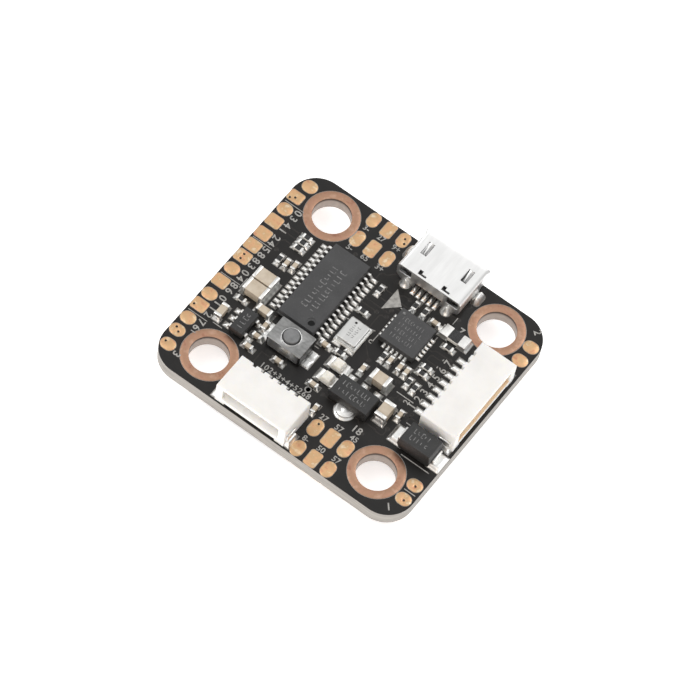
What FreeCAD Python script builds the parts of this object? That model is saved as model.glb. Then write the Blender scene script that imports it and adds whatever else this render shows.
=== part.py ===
import FreeCAD, Part
import math
import os

# Flight controller board: a 20 x 20 mm stack-mount circuit board with its parts on both faces.
# The frame: origin at the centre of the mounting pattern on the board's lower face,
# +X forward (the way the printed arrow points), +Y towards the USB socket, +Z up. Sizes in mm.

Vector = FreeCAD.Vector

# --- board ---
board_length = 29.6
board_width = 26.85
board_thickness = 1.6
board_corner_radius = 3.0
board_shift_x = -0.1
board_shift_y = -0.225
mask_thickness = 0.04
mask_gap = 0.06
via_radius = 0.13

# --- mounting holes ---
mount_spacing_x = 20.0
mount_spacing_y = 20.0
mount_hole_radius = 2.0
ring_width = 0.85
plating_thickness = 0.18
ring_gap = 0.12

# --- edge pads ---
pad_inset = 0.05
pad_corner_radius = 0.25
left_pad_depth = 1.6
rear_pad_width = 1.2
front_pad_width = 1.3
right_pad_length = 1.6
right_pad_width = 1.3

# --- USB socket ---
usb_centre_x = 2.5
usb_overhang = 0.3
usb_shell_width = 7.5
usb_shell_height = 2.5
usb_shell_depth = 4.9
usb_wall = 0.25
usb_lip_length = 0.45
usb_lip_flare = 0.2
usb_lower_chamfer = 0.75
usb_bend_radius = 0.4
usb_rear_window_sill = 1.25
usb_flap_half_width = 2.1
usb_leg_offset = 2.45
usb_spring_tilt = 16
usb_tongue_thickness = 0.65
usb_tongue_width = 3.9
usb_contact_pitch = 0.65
usb_contact_width = 0.3
usb_contact_count = 5
usb_block_depth = 1.3

# --- wire connectors ---
contact_pitch = 1.0
contact_width = 0.3
contact_thickness = 0.2
housing_end_length = 3.2
housing_depth = 4.1
housing_height = 2.95
housing_wall = 0.8
housing_roof = 0.45
housing_floor = 0.5
housing_foot_height = 0.3
housing_foot_length = 1.1
housing_rear_wall = 1.0
housing_slot_width = 0.42
housing_slot_depth = 0.32
housing_slot_sill = 1.25
tab_thickness = 0.2
front_contact_count = 6
front_connector_x = -2.65
front_connector_setback = 0.15
right_contact_count = 8
right_connector_y = 1.4
right_connector_setback = 0.3

# --- button ---
button_x = -4.55
button_y = -4.3
button_length = 4.0
button_width = 2.8
button_height = 1.8
button_cover_thickness = 0.15
button_skirt_height = 1.35
button_skirt_inset = 0.25
button_terminal_spacing = 1.2
button_well_radius = 1.25
button_plunger_radius = 0.8
button_plunger_rise = 0.3
button_collar_width = 0.15
button_collar_rise = 0.08
button_flange_thickness = 0.3
button_travel = 0.25
button_clearance = 0.1
button_gap = 0.02
dome_thickness = 0.06

# --- small two-ended parts: length, width, height and end band ---
bulk_capacitor_size = (2.35, 1.5, 1.2, 0.35)
filter_capacitor_size = (2.0, 1.25, 1.2, 0.4)
medium_capacitor_size = (1.6, 0.8, 0.8, 0.3)
small_capacitor_size = (1.0, 0.5, 0.5, 0.22)
resistor_size = (1.0, 0.5, 0.35, 0.22)
fuse_size = (2.9, 1.3, 0.6, 0.85)
led_base_size = (2.0, 1.25, 0.3, 0.35)
led_lens_height = 0.55
end_skin = 0.03
glaze_thickness = 0.04

# --- chips ---
lead_thickness = 0.15
osd_body_width = 4.4
osd_body_length = 9.7
osd_body_height = 1.05
osd_lead_pitch = 0.65
osd_lead_count = 14
gyro_side = 4.0
gyro_height = 0.9
mcu_side = 10.0
mcu_height = 1.5
mcu_lead_pitch = 0.5
mcu_lead_count = 16
flash_length = 6.0
flash_width = 5.0
flash_height = 0.8

# --- clearances ---
standoff = 0.1
solder_gap = 0.25

# --- worked out from the sizes above ---
board_top = board_thickness
left_edge = board_shift_x - board_length / 2
right_edge = board_shift_x + board_length / 2
front_edge = board_shift_y - board_width / 2
rear_edge = board_shift_y + board_width / 2
ring_radius = mount_hole_radius + ring_width
hole_places = [
    (side_x * mount_spacing_x / 2, side_y * mount_spacing_y / 2) for side_x in (-1, 1) for side_y in (-1, 1)
]
right_housing_length = (right_contact_count - 1) * contact_pitch + housing_end_length
front_housing_length = (front_contact_count - 1) * contact_pitch + housing_end_length

nodes = {}
top_lands = []
under_lands = []
top_openings = []
under_openings = []


# ---------------------------------------------------------------- basic shapes
def block(length, width, height, x=0.0, y=0.0, z=0.0):
    """A box centred on x and y that stands on z."""
    shape = Part.makeBox(length, width, height)
    shape.translate(Vector(x - length / 2, y - width / 2, z))
    return shape


def between(x0, x1, y0, y1, z0, z1):
    """A box given by its limits."""
    return Part.makeBox(x1 - x0, y1 - y0, z1 - z0, Vector(x0, y0, z0))


def disc(radius, z0, z1, x=0.0, y=0.0):
    """An upright cylinder from z0 to z1."""
    return Part.makeCylinder(radius, z1 - z0, Vector(x, y, z0))


def extruded(points, direction):
    """A flat outline pushed along a direction."""
    face = Part.Face(Part.makePolygon(points + [points[0]]))
    return face.extrude(direction)


def upright_edges(shape):
    """The edges of a block that run along Z."""
    found = []
    for edge in shape.Edges:
        first, last = edge.Vertexes[0].Point, edge.Vertexes[-1].Point
        if abs(first.x - last.x) < 1e-6 and abs(first.y - last.y) < 1e-6:
            found.append(edge)
    return found


def rounded_block(length, width, height, radius, x=0.0, y=0.0, z=0.0):
    """A block with rounded upright corners; the radius stays under half the short side."""
    shape = block(length, width, height, x, y, z)
    limit = min(length, width) / 2 - 0.01
    return shape.makeFillet(min(radius, limit), upright_edges(shape))


def rectangle_wire(length, width, z):
    """A rectangle centred on the Z axis."""
    x, y = length / 2, width / 2
    corners = [Vector(-x, -y, z), Vector(x, -y, z), Vector(x, y, z), Vector(-x, y, z)]
    return Part.makePolygon(corners + [corners[0]])


def rounded_outline(points, radius):
    """A closed outline of straight runs with an arc at every corner."""
    corners = []
    for index, corner in enumerate(points):
        before = (points[index - 1] - corner).normalize()
        after = (points[(index + 1) % len(points)] - corner).normalize()
        half_angle = before.getAngle(after) / 2
        reach = radius / math.tan(half_angle)
        bisector = (before + after).normalize()
        middle = corner + bisector * (radius / math.sin(half_angle) - radius)
        corners.append((corner + before * reach, middle, corner + after * reach))
    edges = []
    for index, (start, middle, end) in enumerate(corners):
        edges.append(Part.Arc(start, middle, end).toShape())
        edges.append(Part.makeLine(end, corners[(index + 1) % len(corners)][0]))
    return Part.Wire(edges)


def moulded_body(length, width, z0, z1, draft):
    """A moulded package: both halves lean in from the parting line at its middle."""
    middle = (z0 + z1) / 2
    wires = [
        rectangle_wire(length - 2 * draft, width - 2 * draft, z0),
        rectangle_wire(length, width, middle),
        rectangle_wire(length - 2 * draft, width - 2 * draft, z1),
    ]
    return Part.makeLoft(wires, True, True)


def bent_lead(inner, tip, foot, width, exit_height, thickness):
    """A gull-wing lead along +X: shoulder, bend down, and foot on the board."""
    heel = tip - foot
    knee = inner + (heel - inner) * 0.45
    points = [
        Vector(inner, 0, exit_height),
        Vector(knee, 0, exit_height),
        Vector(heel, 0, 0),
        Vector(tip, 0, 0),
        Vector(tip, 0, thickness),
        Vector(heel + thickness * 0.7, 0, thickness),
        Vector(knee + thickness * 0.7, 0, exit_height + thickness),
        Vector(inner, 0, exit_height + thickness),
    ]
    lead = extruded(points, Vector(0, width, 0))
    lead.translate(Vector(0, -width / 2, 0))
    return lead


def turned(shape, turn):
    """A copy turned about the Z axis."""
    copy = shape.copy()
    copy.rotate(Vector(0, 0, 0), Vector(0, 0, 1), turn)
    return copy


def moved(shape, x, y, z=0.0):
    """A copy moved in its own frame."""
    copy = shape.copy()
    copy.translate(Vector(x, y, z))
    return copy


# ---------------------------------------------------------------- placing
def on_top(shape, x, y, turn=0.0):
    """Seat a shape on the board's upper face."""
    return moved(turned(shape, turn), x, y, board_top)


def underneath(shape, x, y, turn=0.0):
    """Seat a shape, upside down, on the board's lower face."""
    copy = turned(shape, turn)
    copy.rotate(Vector(0, 0, 0), Vector(1, 0, 0), 180)
    return moved(copy, x, y)


def keep(node, shapes):
    """Add solids to a node."""
    nodes.setdefault(node, []).extend(shapes)


def land_shape(land, grow=0.0):
    """A land's copper or, grown, its mask opening. A fifth value is its corner radius."""
    x, y, length, width, *corner = land
    size = (length + 2 * grow, width + 2 * grow, mask_thickness)
    if corner:
        return rounded_block(*size, corner[0] + grow, x, y, -mask_thickness)
    return block(*size, x, y, -mask_thickness)


def fit_component(pieces, lands, x, y, turn=0.0, under=False):
    """Place a component's pieces, and remember the lands it is soldered to."""
    place = underneath if under else on_top
    for node, shapes in pieces.items():
        keep(node, [place(shape, x, y, turn) for shape in shapes])
    coppers = under_lands if under else top_lands
    openings = under_openings if under else top_openings
    for land in lands:
        coppers.append(place(land_shape(land), x, y, turn))
        openings.append(place(land_shape(land, mask_gap), x, y, turn))


# ---------------------------------------------------------------- chip parts
def end_caps(length, width, height, band, skin):
    """The two tinned ends of a small ceramic part, each a cap around the ceramic."""
    core = block(length - 2 * skin, width - 2 * skin, height - 2 * skin, 0, 0, skin)
    caps = []
    for side in (-1, 1):
        cap = block(band, width, height, side * (length - band) / 2)
        caps.append(cap.cut(core))
    return core, caps


def end_lands(length, width, band):
    """Two lands, one under each end and past it."""
    land_length = band + solder_gap + 0.05
    offset = length / 2 - band / 2 + solder_gap / 2
    return [(side * offset, 0, land_length, width + 0.1) for side in (-1, 1)]


def capacitor(name, length, width, height, band):
    """A multilayer ceramic capacitor."""
    core, caps = end_caps(length, width, height, band, end_skin)
    pieces = {name + "_bodies": [core], name + "_terminals": caps}
    return pieces, end_lands(length, width, band)


def resistor(length, width, height, band):
    """A chip resistor: white ceramic, wrapped ends, dark glaze on its face between them."""
    core = block(length - 2 * end_skin, width, height - 2 * end_skin, 0, 0, end_skin)
    caps = []
    for side in (-1, 1):
        cap = block(band, width, height, side * (length - band) / 2)
        caps.append(cap.cut(core))
    glaze = block(length - 2 * band, width - 0.02, glaze_thickness, 0, 0, height - end_skin)
    pieces = {"resistor_bodies": [core], "resistor_glazes": [glaze], "resistor_terminals": caps}
    return pieces, end_lands(length, width, band)


def fuse():
    """A chip fuse with wide ends."""
    length, width, height, band = fuse_size
    core, caps = end_caps(length, width, height, band, 0.04)
    window = block(length - 2 * band, width - 0.1, 0.06, 0, 0, height - 0.04)
    pieces = {"fuse_body": [core], "fuse_window": [window], "fuse_terminals": caps}
    return pieces, end_lands(length, width, band)


def led():
    """A white status light: base strip, wrapped ends and a tapered clear lens."""
    length, width, base_height, band = led_base_size
    base, caps = end_caps(length, width, base_height, band, end_skin)
    wires = [
        rectangle_wire(length - 2 * band, width, base_height),
        rectangle_wire(length - 2 * band - 0.4, width - 0.35, base_height + led_lens_height),
    ]
    lens = Part.makeLoft(wires, True, True)
    pieces = {"led_bases": [base], "led_lenses": [lens], "led_terminals": caps}
    return pieces, end_lands(length, width, band)


# ---------------------------------------------------------------- leaded packages
def two_sided_leads(count, pitch, inner, tip, foot, width, exit_height):
    """Rows of leads along both long sides of a package whose length runs along Y."""
    lead = bent_lead(inner, tip, foot, width, exit_height, lead_thickness)
    row = []
    for index in range(count):
        y = (index - (count - 1) / 2) * pitch
        row.append(moved(lead, 0, y))
        row.append(moved(turned(lead, 180), 0, y))
    return row


def row_lands(count, pitch, tip, foot, width):
    """Lands under two_sided_leads."""
    length = foot + solder_gap
    centre = tip - foot / 2
    places = []
    for index in range(count):
        y = (index - (count - 1) / 2) * pitch
        places += [(side * centre, y, length, width) for side in (-1, 1)]
    return places


def osd_chip():
    """The video overlay chip, a 28-lead thin package with a round index dimple."""
    body = moulded_body(osd_body_width, osd_body_length, standoff, osd_body_height, 0.12)
    dimple_x = osd_body_width / 2 - 0.95
    dimple_y = -osd_body_length / 2 + 1.0
    body = body.cut(disc(0.45, osd_body_height - 0.06, osd_body_height + 1, dimple_x, dimple_y))
    tip = osd_body_width / 2 + 1.0
    exit_height = (standoff + osd_body_height - lead_thickness) / 2
    inner = osd_body_width / 2
    leads = two_sided_leads(osd_lead_count, osd_lead_pitch, inner, tip, 0.5, 0.24, exit_height)
    pieces = {"osd_chip_body": [body], "osd_chip_leads": leads}
    return pieces, row_lands(osd_lead_count, osd_lead_pitch, tip, 0.5, 0.38)


def gyro_chip():
    """The motion sensor, a square leadless package with six end-tinned lands a side."""
    land_height = 0.2
    body = block(gyro_side, gyro_side, gyro_height - 0.02, 0, 0, 0.02)
    index_x = -gyro_side / 2 + 0.5
    body = body.cut(disc(0.16, gyro_height - 0.05, gyro_height + 1, index_x, -index_x))
    land = between(gyro_side / 2 - 0.35, gyro_side / 2 + 0.03, -0.13, 0.13, 0, land_height)
    leads = []
    lands = []
    for index in range(6):
        offset = (index - 2.5) * 0.5
        for turn in (0, 90, 180, 270):
            leads.append(turned(moved(land, 0, offset), turn))
        for side in (-1, 1):
            lands.append((side * gyro_side / 2, offset, 0.75, 0.28))
            lands.append((offset, side * gyro_side / 2, 0.28, 0.75))
    paddle = block(2.4, 2.4, land_height, 0, 0, 0)
    leads.append(paddle)
    body = body.cut(Part.makeCompound(leads))
    return {"gyro_chip_body": [body], "gyro_chip_lands": leads}, lands


def barometer():
    """The air pressure sensor: a small base and a folded metal lid with a vent hole."""
    length, width, base_height, lid_height, wall = 2.5, 3.0, 0.3, 0.62, 0.1
    base = block(length, width, base_height)
    lid_length, lid_width = length - 0.3, width - 0.3
    flange = block(length - 0.06, width - 0.06, wall, 0, 0, base_height)
    can = rounded_block(lid_length, lid_width, lid_height, 0.2, 0, 0, base_height)
    rim = base_height + lid_height - 0.01
    can = can.makeFillet(wall, [edge for edge in can.Edges if edge.CenterOfMass.z > rim])
    lid = flange.fuse(can)
    hollow = block(lid_length - 2 * wall, lid_width - 2 * wall, lid_height - wall, 0, 0, base_height)
    lid = lid.cut(hollow)
    lid = lid.cut(disc(0.13, base_height, base_height + 1, -0.35, 0.95)).removeSplitter()
    die = block(1.1, 1.2, 0.3, 0.2, -0.2, base_height)
    terminals = [block(0.75, 0.12, 0.24, side * 0.75, -width / 2 - 0.06) for side in (-1, 1)]
    terminals += [block(0.75, 0.12, 0.24, side * 0.75, width / 2 + 0.06) for side in (-1, 1)]
    pieces = {
        "barometer_base": [base],
        "barometer_lid": [lid],
        "barometer_die": [die],
        "barometer_terminals": terminals,
    }
    lands = [(side * 0.75, end * (width / 2 + 0.05), 0.95, 0.5) for side in (-1, 1) for end in (-1, 1)]
    return pieces, lands


def small_regulator():
    """A five-lead regulator; its length runs along Y, three leads at -X and two at +X."""
    width, length, height = 1.6, 2.9, 1.1
    body = moulded_body(width, length, standoff, height, 0.08)
    lead = bent_lead(width / 2, width / 2 + 0.6, 0.35, 0.4, 0.45, lead_thickness)
    leads = []
    lands = []
    for y in (-0.95, 0, 0.95):
        leads.append(moved(turned(lead, 180), 0, y))
        lands.append((-width / 2 - 0.5, y, 0.7, 0.55))
    for y in (-0.95, 0.95):
        leads.append(moved(lead, 0, y))
        lands.append((width / 2 + 0.5, y, 0.7, 0.55))
    return {"small_regulator_body": [body], "small_regulator_leads": leads}, lands


def power_regulator():
    """A power regulator with three flat leads at +Y and a broad heat tab at -Y."""
    length, width, height = 4.5, 2.5, 1.5
    body = moulded_body(length, width, 0.0, height, 0.1)
    paddle = between(-0.85, 0.85, -width / 2, width / 2 - 0.4, 0, 0.35)
    tab = paddle.fuse(disc(0.95, 0, 0.35, 0, -width / 2)).removeSplitter()
    leads = [block(0.48, 1.0, 0.35, x, width / 2 + 0.35) for x in (-1.5, 0, 1.5)]
    metal = [tab] + leads
    body = body.cut(Part.makeCompound(metal))
    lands = [(x, width / 2 + 0.55, 0.85, 1.0) for x in (-1.5, 0, 1.5)]
    lands.append((0, -width / 2 - 0.05, 2.2, 2.2, 1.1))
    return {"power_regulator_body": [body], "power_regulator_leads": metal}, lands


def power_diode():
    """A power diode with its ends folded under the body; its length runs along X."""
    length, width, height, metal = 4.2, 2.6, 2.0, 0.2
    body = moulded_body(length - 2 * metal, width, standoff, height, 0.18)
    leads = []
    for side in (-1, 1):
        foot = block(1.3, 1.5, metal, side * (length / 2 + 0.05))
        riser = block(metal, 1.5, height / 2 + 0.1, side * (length / 2 - metal / 2))
        leads.append(foot.fuse(riser).removeSplitter())
    body = body.cut(Part.makeCompound(leads))
    lands = [(side * (length / 2 + 0.2), 0, 1.6, 2.1) for side in (-1, 1)]
    return {"power_diode_body": [body], "power_diode_leads": leads}, lands


def main_processor():
    """The processor, a square package with sixteen leads a side."""
    body = moulded_body(mcu_side, mcu_side, standoff, mcu_height, 0.12)
    body = body.cut(disc(0.6, mcu_height - 0.08, mcu_height + 1, 1.2 - mcu_side / 2, 1.2 - mcu_side / 2))
    inner = mcu_side / 2
    exit_height = (standoff + mcu_height - lead_thickness) / 2
    lead = bent_lead(inner, inner + 1.0, 0.5, 0.22, exit_height, lead_thickness)
    leads = []
    lands = []
    for index in range(mcu_lead_count):
        offset = (index - (mcu_lead_count - 1) / 2) * mcu_lead_pitch
        for turn in (0, 90, 180, 270):
            leads.append(turned(moved(lead, 0, offset), turn))
        for side in (-1, 1):
            lands.append((side * (inner + 0.75), offset, 0.75, 0.3))
            lands.append((offset, side * (inner + 0.75), 0.3, 0.75))
    return {"main_processor_body": [body], "main_processor_leads": leads}, lands


def flash_chip():
    """The log memory, a leadless package with four lands on each short side."""
    body = block(flash_length, flash_width, flash_height - 0.02, 0, 0, 0.02)
    body = body.cut(disc(0.25, flash_height - 0.06, flash_height + 1, 0.6 - flash_length / 2, 1.9))
    leads = []
    lands = []
    for index in range(4):
        y = (index - 1.5) * 1.27
        for side in (-1, 1):
            leads.append(block(0.6, 0.42, 0.2, side * (flash_length / 2 - 0.27), y))
            lands.append((side * (flash_length / 2), y, 0.9, 0.5))
    body = body.cut(Part.makeCompound(leads))
    return {"flash_chip_body": [body], "flash_chip_lands": leads}, lands


def crystal():
    """The clock crystal: a ceramic tray under a flat metal lid."""
    length, width, tray_height, lid_height = 3.2, 2.5, 0.55, 0.15
    tray = rounded_block(length, width, tray_height, 0.15)
    lid = rounded_block(length - 0.3, width - 0.3, lid_height, 0.3, 0, 0, tray_height)
    lands = [(side * 1.15, end * 0.95, 1.3, 1.1) for side in (-1, 1) for end in (-1, 1)]
    return {"crystal_tray": [tray], "crystal_lid": [lid]}, lands


# ---------------------------------------------------------------- button
def button():
    """A boot button: base with a well, snap dome, plunger and a metal cover."""
    cover_under = button_height - button_cover_thickness
    flange_top = cover_under - button_gap
    flange_under = flange_top - button_flange_thickness
    dome_height = button_travel + button_clearance
    dome_top = flange_under - button_gap
    floor = dome_top - dome_height
    base_width = button_width - 2 * button_cover_thickness
    base = block(button_length, base_width, cover_under)
    base = base.cut(disc(button_well_radius, floor, button_height))
    plunger_top = button_height + button_plunger_rise
    flange = disc(button_well_radius - button_clearance, flange_under, flange_top)
    stem = disc(button_plunger_radius, flange_under, plunger_top)
    stem = stem.makeFillet(0.08, [edge for edge in stem.Edges if edge.CenterOfMass.z > plunger_top - 0.01])
    plunger = flange.fuse(stem).removeSplitter()
    cover = block(button_length, button_width, button_cover_thickness, 0, 0, cover_under)
    for side in (-1, 1):
        skirt_y = side * (button_width - button_cover_thickness) / 2
        skirt_length = button_length - 2 * button_skirt_inset
        skirt_under = cover_under - button_skirt_height
        skirt = block(skirt_length, button_cover_thickness, button_skirt_height, 0, skirt_y, skirt_under)
        cover = cover.fuse(skirt)
    hole_radius = button_plunger_radius + button_clearance
    collar_radius = hole_radius + button_collar_width
    cover = cover.fuse(disc(collar_radius, cover_under, button_height + button_collar_rise))
    hole = disc(hole_radius, 0, button_height + 1)
    cover = cover.cut(hole).removeSplitter()
    dome = snap_dome(button_well_radius - button_clearance, dome_height, floor)
    terminals = []
    for side_x in (-1, 1):
        for side_y in (-1, 1):
            foot_x = side_x * (button_length / 2 + 0.35)
            terminals.append(block(0.7, 0.65, lead_thickness, foot_x, side_y * button_terminal_spacing / 2))
    pieces = {
        "button_base": [base],
        "button_cover": [cover],
        "button_plunger": [plunger],
        "button_dome": [dome],
        "button_terminals": terminals,
    }
    lands = [(side * (button_length / 2 + 0.4), 0, 0.95, 2.0) for side in (-1, 1)]
    return pieces, lands


def snap_dome(radius, height, floor):
    """A thin spherical cap that stands on the well's floor."""
    sphere_radius = (radius * radius + height * height) / (2 * height)
    centre = Vector(0, 0, floor + height - sphere_radius)
    outer = Part.makeSphere(sphere_radius, centre)
    inner = Part.makeSphere(sphere_radius - dome_thickness, centre)
    slab = disc(radius + 1, floor, floor + height + 1)
    return outer.cut(inner).common(slab)


# ---------------------------------------------------------------- USB socket
def shell_outline(width, height, y, lift, radius):
    """The socket's section at depth y: wide at the top, with cut lower corners."""
    side = width / 2
    cut = usb_lower_chamfer
    points = [
        Vector(-side + cut, y, lift),
        Vector(side - cut, y, lift),
        Vector(side, y, lift + cut),
        Vector(side, y, lift + height),
        Vector(-side, y, lift + height),
        Vector(-side, y, lift + cut),
    ]
    return rounded_outline(points, radius)


def shell_solid(width, height, lift, y_rear, y_front, radius):
    """A solid of the socket's section, with a flared mouth."""
    straight_end = y_front - usb_lip_length
    wires = [
        shell_outline(width, height, y_rear, lift, radius),
        shell_outline(width, height, straight_end, lift, radius),
        shell_outline(width + 2 * usb_lip_flare, height + usb_lip_flare, y_front, lift, radius),
    ]
    return Part.makeLoft(wires, True, True)


def usb_spring(side):
    """A pressed spring in a window of the shell, hinged at its mouth end."""
    spring = block(0.42, 1.35, 0.1, 0, -0.675)
    spring.rotate(Vector(0, 0, 0), Vector(1, 0, 0), usb_spring_tilt)
    spring_x = side * (usb_shell_width / 2 - 1.35)
    return moved(spring, spring_x, -1.0, usb_shell_height - 0.15)


def usb_shell():
    """The folded metal shell: walls, closed rear with two windows, springs, wings and legs."""
    rear = -usb_shell_depth
    top = usb_shell_height
    outer = shell_solid(usb_shell_width, top, 0.0, rear, 0.0, usb_bend_radius)
    inner_width = usb_shell_width - 2 * usb_wall
    inner_height = top - 2 * usb_wall
    inner_radius = usb_bend_radius - usb_wall
    inner = shell_solid(inner_width, inner_height, usb_wall, rear + usb_wall, 0.01, inner_radius)
    shell = outer.cut(inner)
    for side in (-1, 1):
        window_x = side * (usb_shell_width / 2 - 1.35)
        shell = shell.cut(block(0.7, 1.6, 1.0, window_x, -1.85, top - 0.6))
        notch_x = side * (usb_flap_half_width - 0.7)
        shell = shell.cut(block(0.4, 0.55, 1.0, notch_x, rear + 0.5, top - 0.6))
        shell = shell.cut(block(0.9, 0.22, 1.0, notch_x + 0.3, rear + 0.33, top - 0.6))
        window_length = usb_shell_width / 2 - usb_wall - 0.05 - usb_flap_half_width
        window_centre = side * (usb_flap_half_width + window_length / 2)
        window_height = top - usb_wall - usb_rear_window_sill
        shell = shell.cut(block(window_length, 0.7, window_height, window_centre, rear, usb_rear_window_sill))
        shell = shell.fuse(usb_spring(side))
        shell = shell.fuse(block(0.7, 1.2, 0.2, side * (usb_shell_width / 2 + 0.3), -1.95))
        root_x = side * (usb_shell_width / 2 - 0.1)
        shell = shell.fuse(block(0.2, 1.2, usb_lower_chamfer + 0.3, root_x, -1.95))
        shell = shell.fuse(block(0.6, 0.35, 0.5, side * usb_leg_offset, rear - 0.1))
    contact_span = usb_contact_pitch * (usb_contact_count - 1) + usb_contact_width + 0.3
    return shell.cut(block(contact_span, 1.0, 0.95, 0, rear + 0.3, -0.02)).removeSplitter()


def usb_socket():
    """A micro socket; its mouth is at +Y, and y = 0 is the mouth's plane."""
    rear = -usb_shell_depth
    inner_width = usb_shell_width - 2 * usb_wall
    inner_height = usb_shell_height - 2 * usb_wall
    block_rear = rear + usb_wall + 0.02
    block_front = block_rear + usb_block_depth
    insulator_length = inner_width - 2 * usb_lower_chamfer
    insulator_body = block(insulator_length, usb_block_depth, inner_height - 0.15, 0, 0, usb_wall + 0.02)
    insulator_body.translate(Vector(0, block_rear + usb_block_depth / 2, 0))
    tongue_under = usb_shell_height / 2 - usb_tongue_thickness / 2 + 0.15
    tongue_length = -block_front - 0.7
    tongue = block(usb_tongue_width, tongue_length, usb_tongue_thickness)
    tongue.translate(Vector(0, block_front + tongue_length / 2, tongue_under))
    insulator = insulator_body.fuse(tongue).removeSplitter()

    contacts = []
    strip = 0.12
    riser = block_rear + 0.3
    contact_end = block_front + tongue_length - 0.5
    for index in range(usb_contact_count):
        x = (index - (usb_contact_count - 1) / 2) * usb_contact_pitch
        points = [
            Vector(0, rear - 0.55, 0),
            Vector(0, riser, 0),
            Vector(0, riser, tongue_under - strip),
            Vector(0, contact_end, tongue_under - strip),
            Vector(0, contact_end, tongue_under),
            Vector(0, riser - strip, tongue_under),
            Vector(0, riser - strip, strip),
            Vector(0, rear - 0.55, strip),
        ]
        contact = extruded(points, Vector(usb_contact_width, 0, 0))
        contact.translate(Vector(x - usb_contact_width / 2, 0, 0))
        contacts.append(contact)
    insulator = insulator.cut(Part.makeCompound(contacts))
    pieces = {"usb_shell": [usb_shell()], "usb_insulator": [insulator], "usb_contacts": contacts}
    lands = []
    for index in range(usb_contact_count):
        x = (index - (usb_contact_count - 1) / 2) * usb_contact_pitch
        lands.append((x, rear - 0.15, usb_contact_width + 0.1, 1.15))
    for side in (-1, 1):
        lands.append((side * (usb_shell_width / 2 + 0.35), -1.95, 0.95, 1.7, 0.475))
        lands.append((side * usb_leg_offset, rear - 0.15, 1.1, 1.1, 0.55))
    return pieces, lands


# ---------------------------------------------------------------- wire connectors
def wire_connector(name, count):
    """A side-entry socket for a wire plug. The mouth is at -Y and y = 0 is the mouth's plane."""
    length = (count - 1) * contact_pitch + housing_end_length
    housing = between(-length / 2, length / 2, 0, housing_depth, 0, housing_height)
    upper = [
        edge for edge in housing.Edges
        if edge.CenterOfMass.z > housing_height - 0.01 and edge.CenterOfMass.y > 0.01
    ]
    housing = housing.makeChamfer(0.12, upper)
    floor_top = housing_foot_height + housing_floor
    mouth = length / 2 - housing_wall
    cavity_back = housing_depth - housing_rear_wall
    cavity = between(-mouth, mouth, -1, cavity_back, floor_top, housing_height - housing_roof)
    foot = length / 2 - housing_foot_length
    gap = between(-foot, foot, -1, housing_depth + 1, -1, housing_foot_height)
    places = [(index - (count - 1) / 2) * contact_pitch for index in range(count)]
    slot_half = housing_slot_width / 2
    slot_front = housing_depth - housing_slot_depth
    slot = between(-slot_half, slot_half, slot_front, housing_depth + 1, housing_slot_sill, housing_height + 1)
    slots = [moved(slot, x, 0) for x in places]
    housing = housing.cut(Part.makeCompound([cavity, gap] + slots))
    contacts = [moved(wire_contact(), x, 0) for x in places]
    housing = housing.cut(Part.makeCompound(contacts))
    tabs = []
    lands = []
    for side in (-1, 1):
        plate = block(tab_thickness, 1.3, 1.5, side * (length / 2 + tab_thickness / 2), 1.0)
        sole = block(0.5, 1.3, tab_thickness, side * (length / 2 + 0.25), 1.0)
        tabs.append(plate.fuse(sole).removeSplitter())
        lands.append((side * (length / 2 + 0.05), 1.0, 1.0, 1.8))
    lands += [(x, housing_depth + 0.6, 0.6, 1.55) for x in places]
    pieces = {name + "_housing": [housing], name + "_contacts": contacts, name + "_tabs": tabs}
    return pieces, lands


def wire_contact():
    """One contact: a spring arm in the mouth, a run through the rear wall, and a foot."""
    arm_height = housing_foot_height + housing_floor + 0.35
    rear = housing_depth
    tip = rear + 1.15
    points = [
        Vector(0, 0.9, arm_height),
        Vector(0, rear - 0.3, arm_height),
        Vector(0, rear + 0.35, 0),
        Vector(0, tip, 0),
        Vector(0, tip, contact_thickness),
        Vector(0, rear + 0.5, contact_thickness),
        Vector(0, rear - 0.2, arm_height + contact_thickness),
        Vector(0, 0.9, arm_height + contact_thickness),
    ]
    contact = extruded(points, Vector(contact_width, 0, 0))
    return moved(contact, -contact_width / 2, 0)


# ---------------------------------------------------------------- pads
def pad(x, y, length, width, is_oval, grow):
    """A flat pad, oval or with small corner rounds, grown all round for a mask opening."""
    radius = min(length, width) / 2 if is_oval else pad_corner_radius
    height = board_top - mask_thickness
    return rounded_block(length + 2 * grow, width + 2 * grow, mask_thickness, radius + grow, x, y, height)


def left_pads(grow=0.0):
    """The column of signal pads down the left edge."""
    centre_x = left_edge + pad_inset + left_pad_depth / 2
    rows = [
        (9.5, 1.3, False), (7.7, 1.4, True), (5.95, 1.4, False), (4.12, 1.35, False), (2.42, 1.35, False),
        (0.8, 1.4, False), (-0.95, 1.3, True), (-2.77, 1.35, False), (-4.6, 1.3, True),
        (-6.17, 1.35, False), (-8.02, 1.35, True),
    ]
    pads = []
    for y, height, is_oval in rows:
        pads.append(pad(centre_x, y, left_pad_depth, height, is_oval, grow))
    pads.append(pad(centre_x, -9.75, left_pad_depth, 1.3, True, grow))
    pads.append(pad(centre_x + 0.25, -11.55, left_pad_depth, 1.3, True, grow))
    pads.append(pad(centre_x + 0.4, 11.3, left_pad_depth, 1.4, True, grow))
    return pads


def rear_pads(grow=0.0):
    """A block of two rows of three pads beside the USB socket."""
    pads = []
    usb_side = usb_centre_x - usb_shell_width / 2
    for index, is_oval in enumerate((True, False, True)):
        x = usb_side - 1.7 - (2 - index) * 1.8
        pads.append(pad(x, rear_edge - pad_inset - 0.875, rear_pad_width, 1.75, is_oval, grow))
        pads.append(pad(x, rear_edge - 3.65, rear_pad_width, 1.9, is_oval, grow))
    return pads


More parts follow.
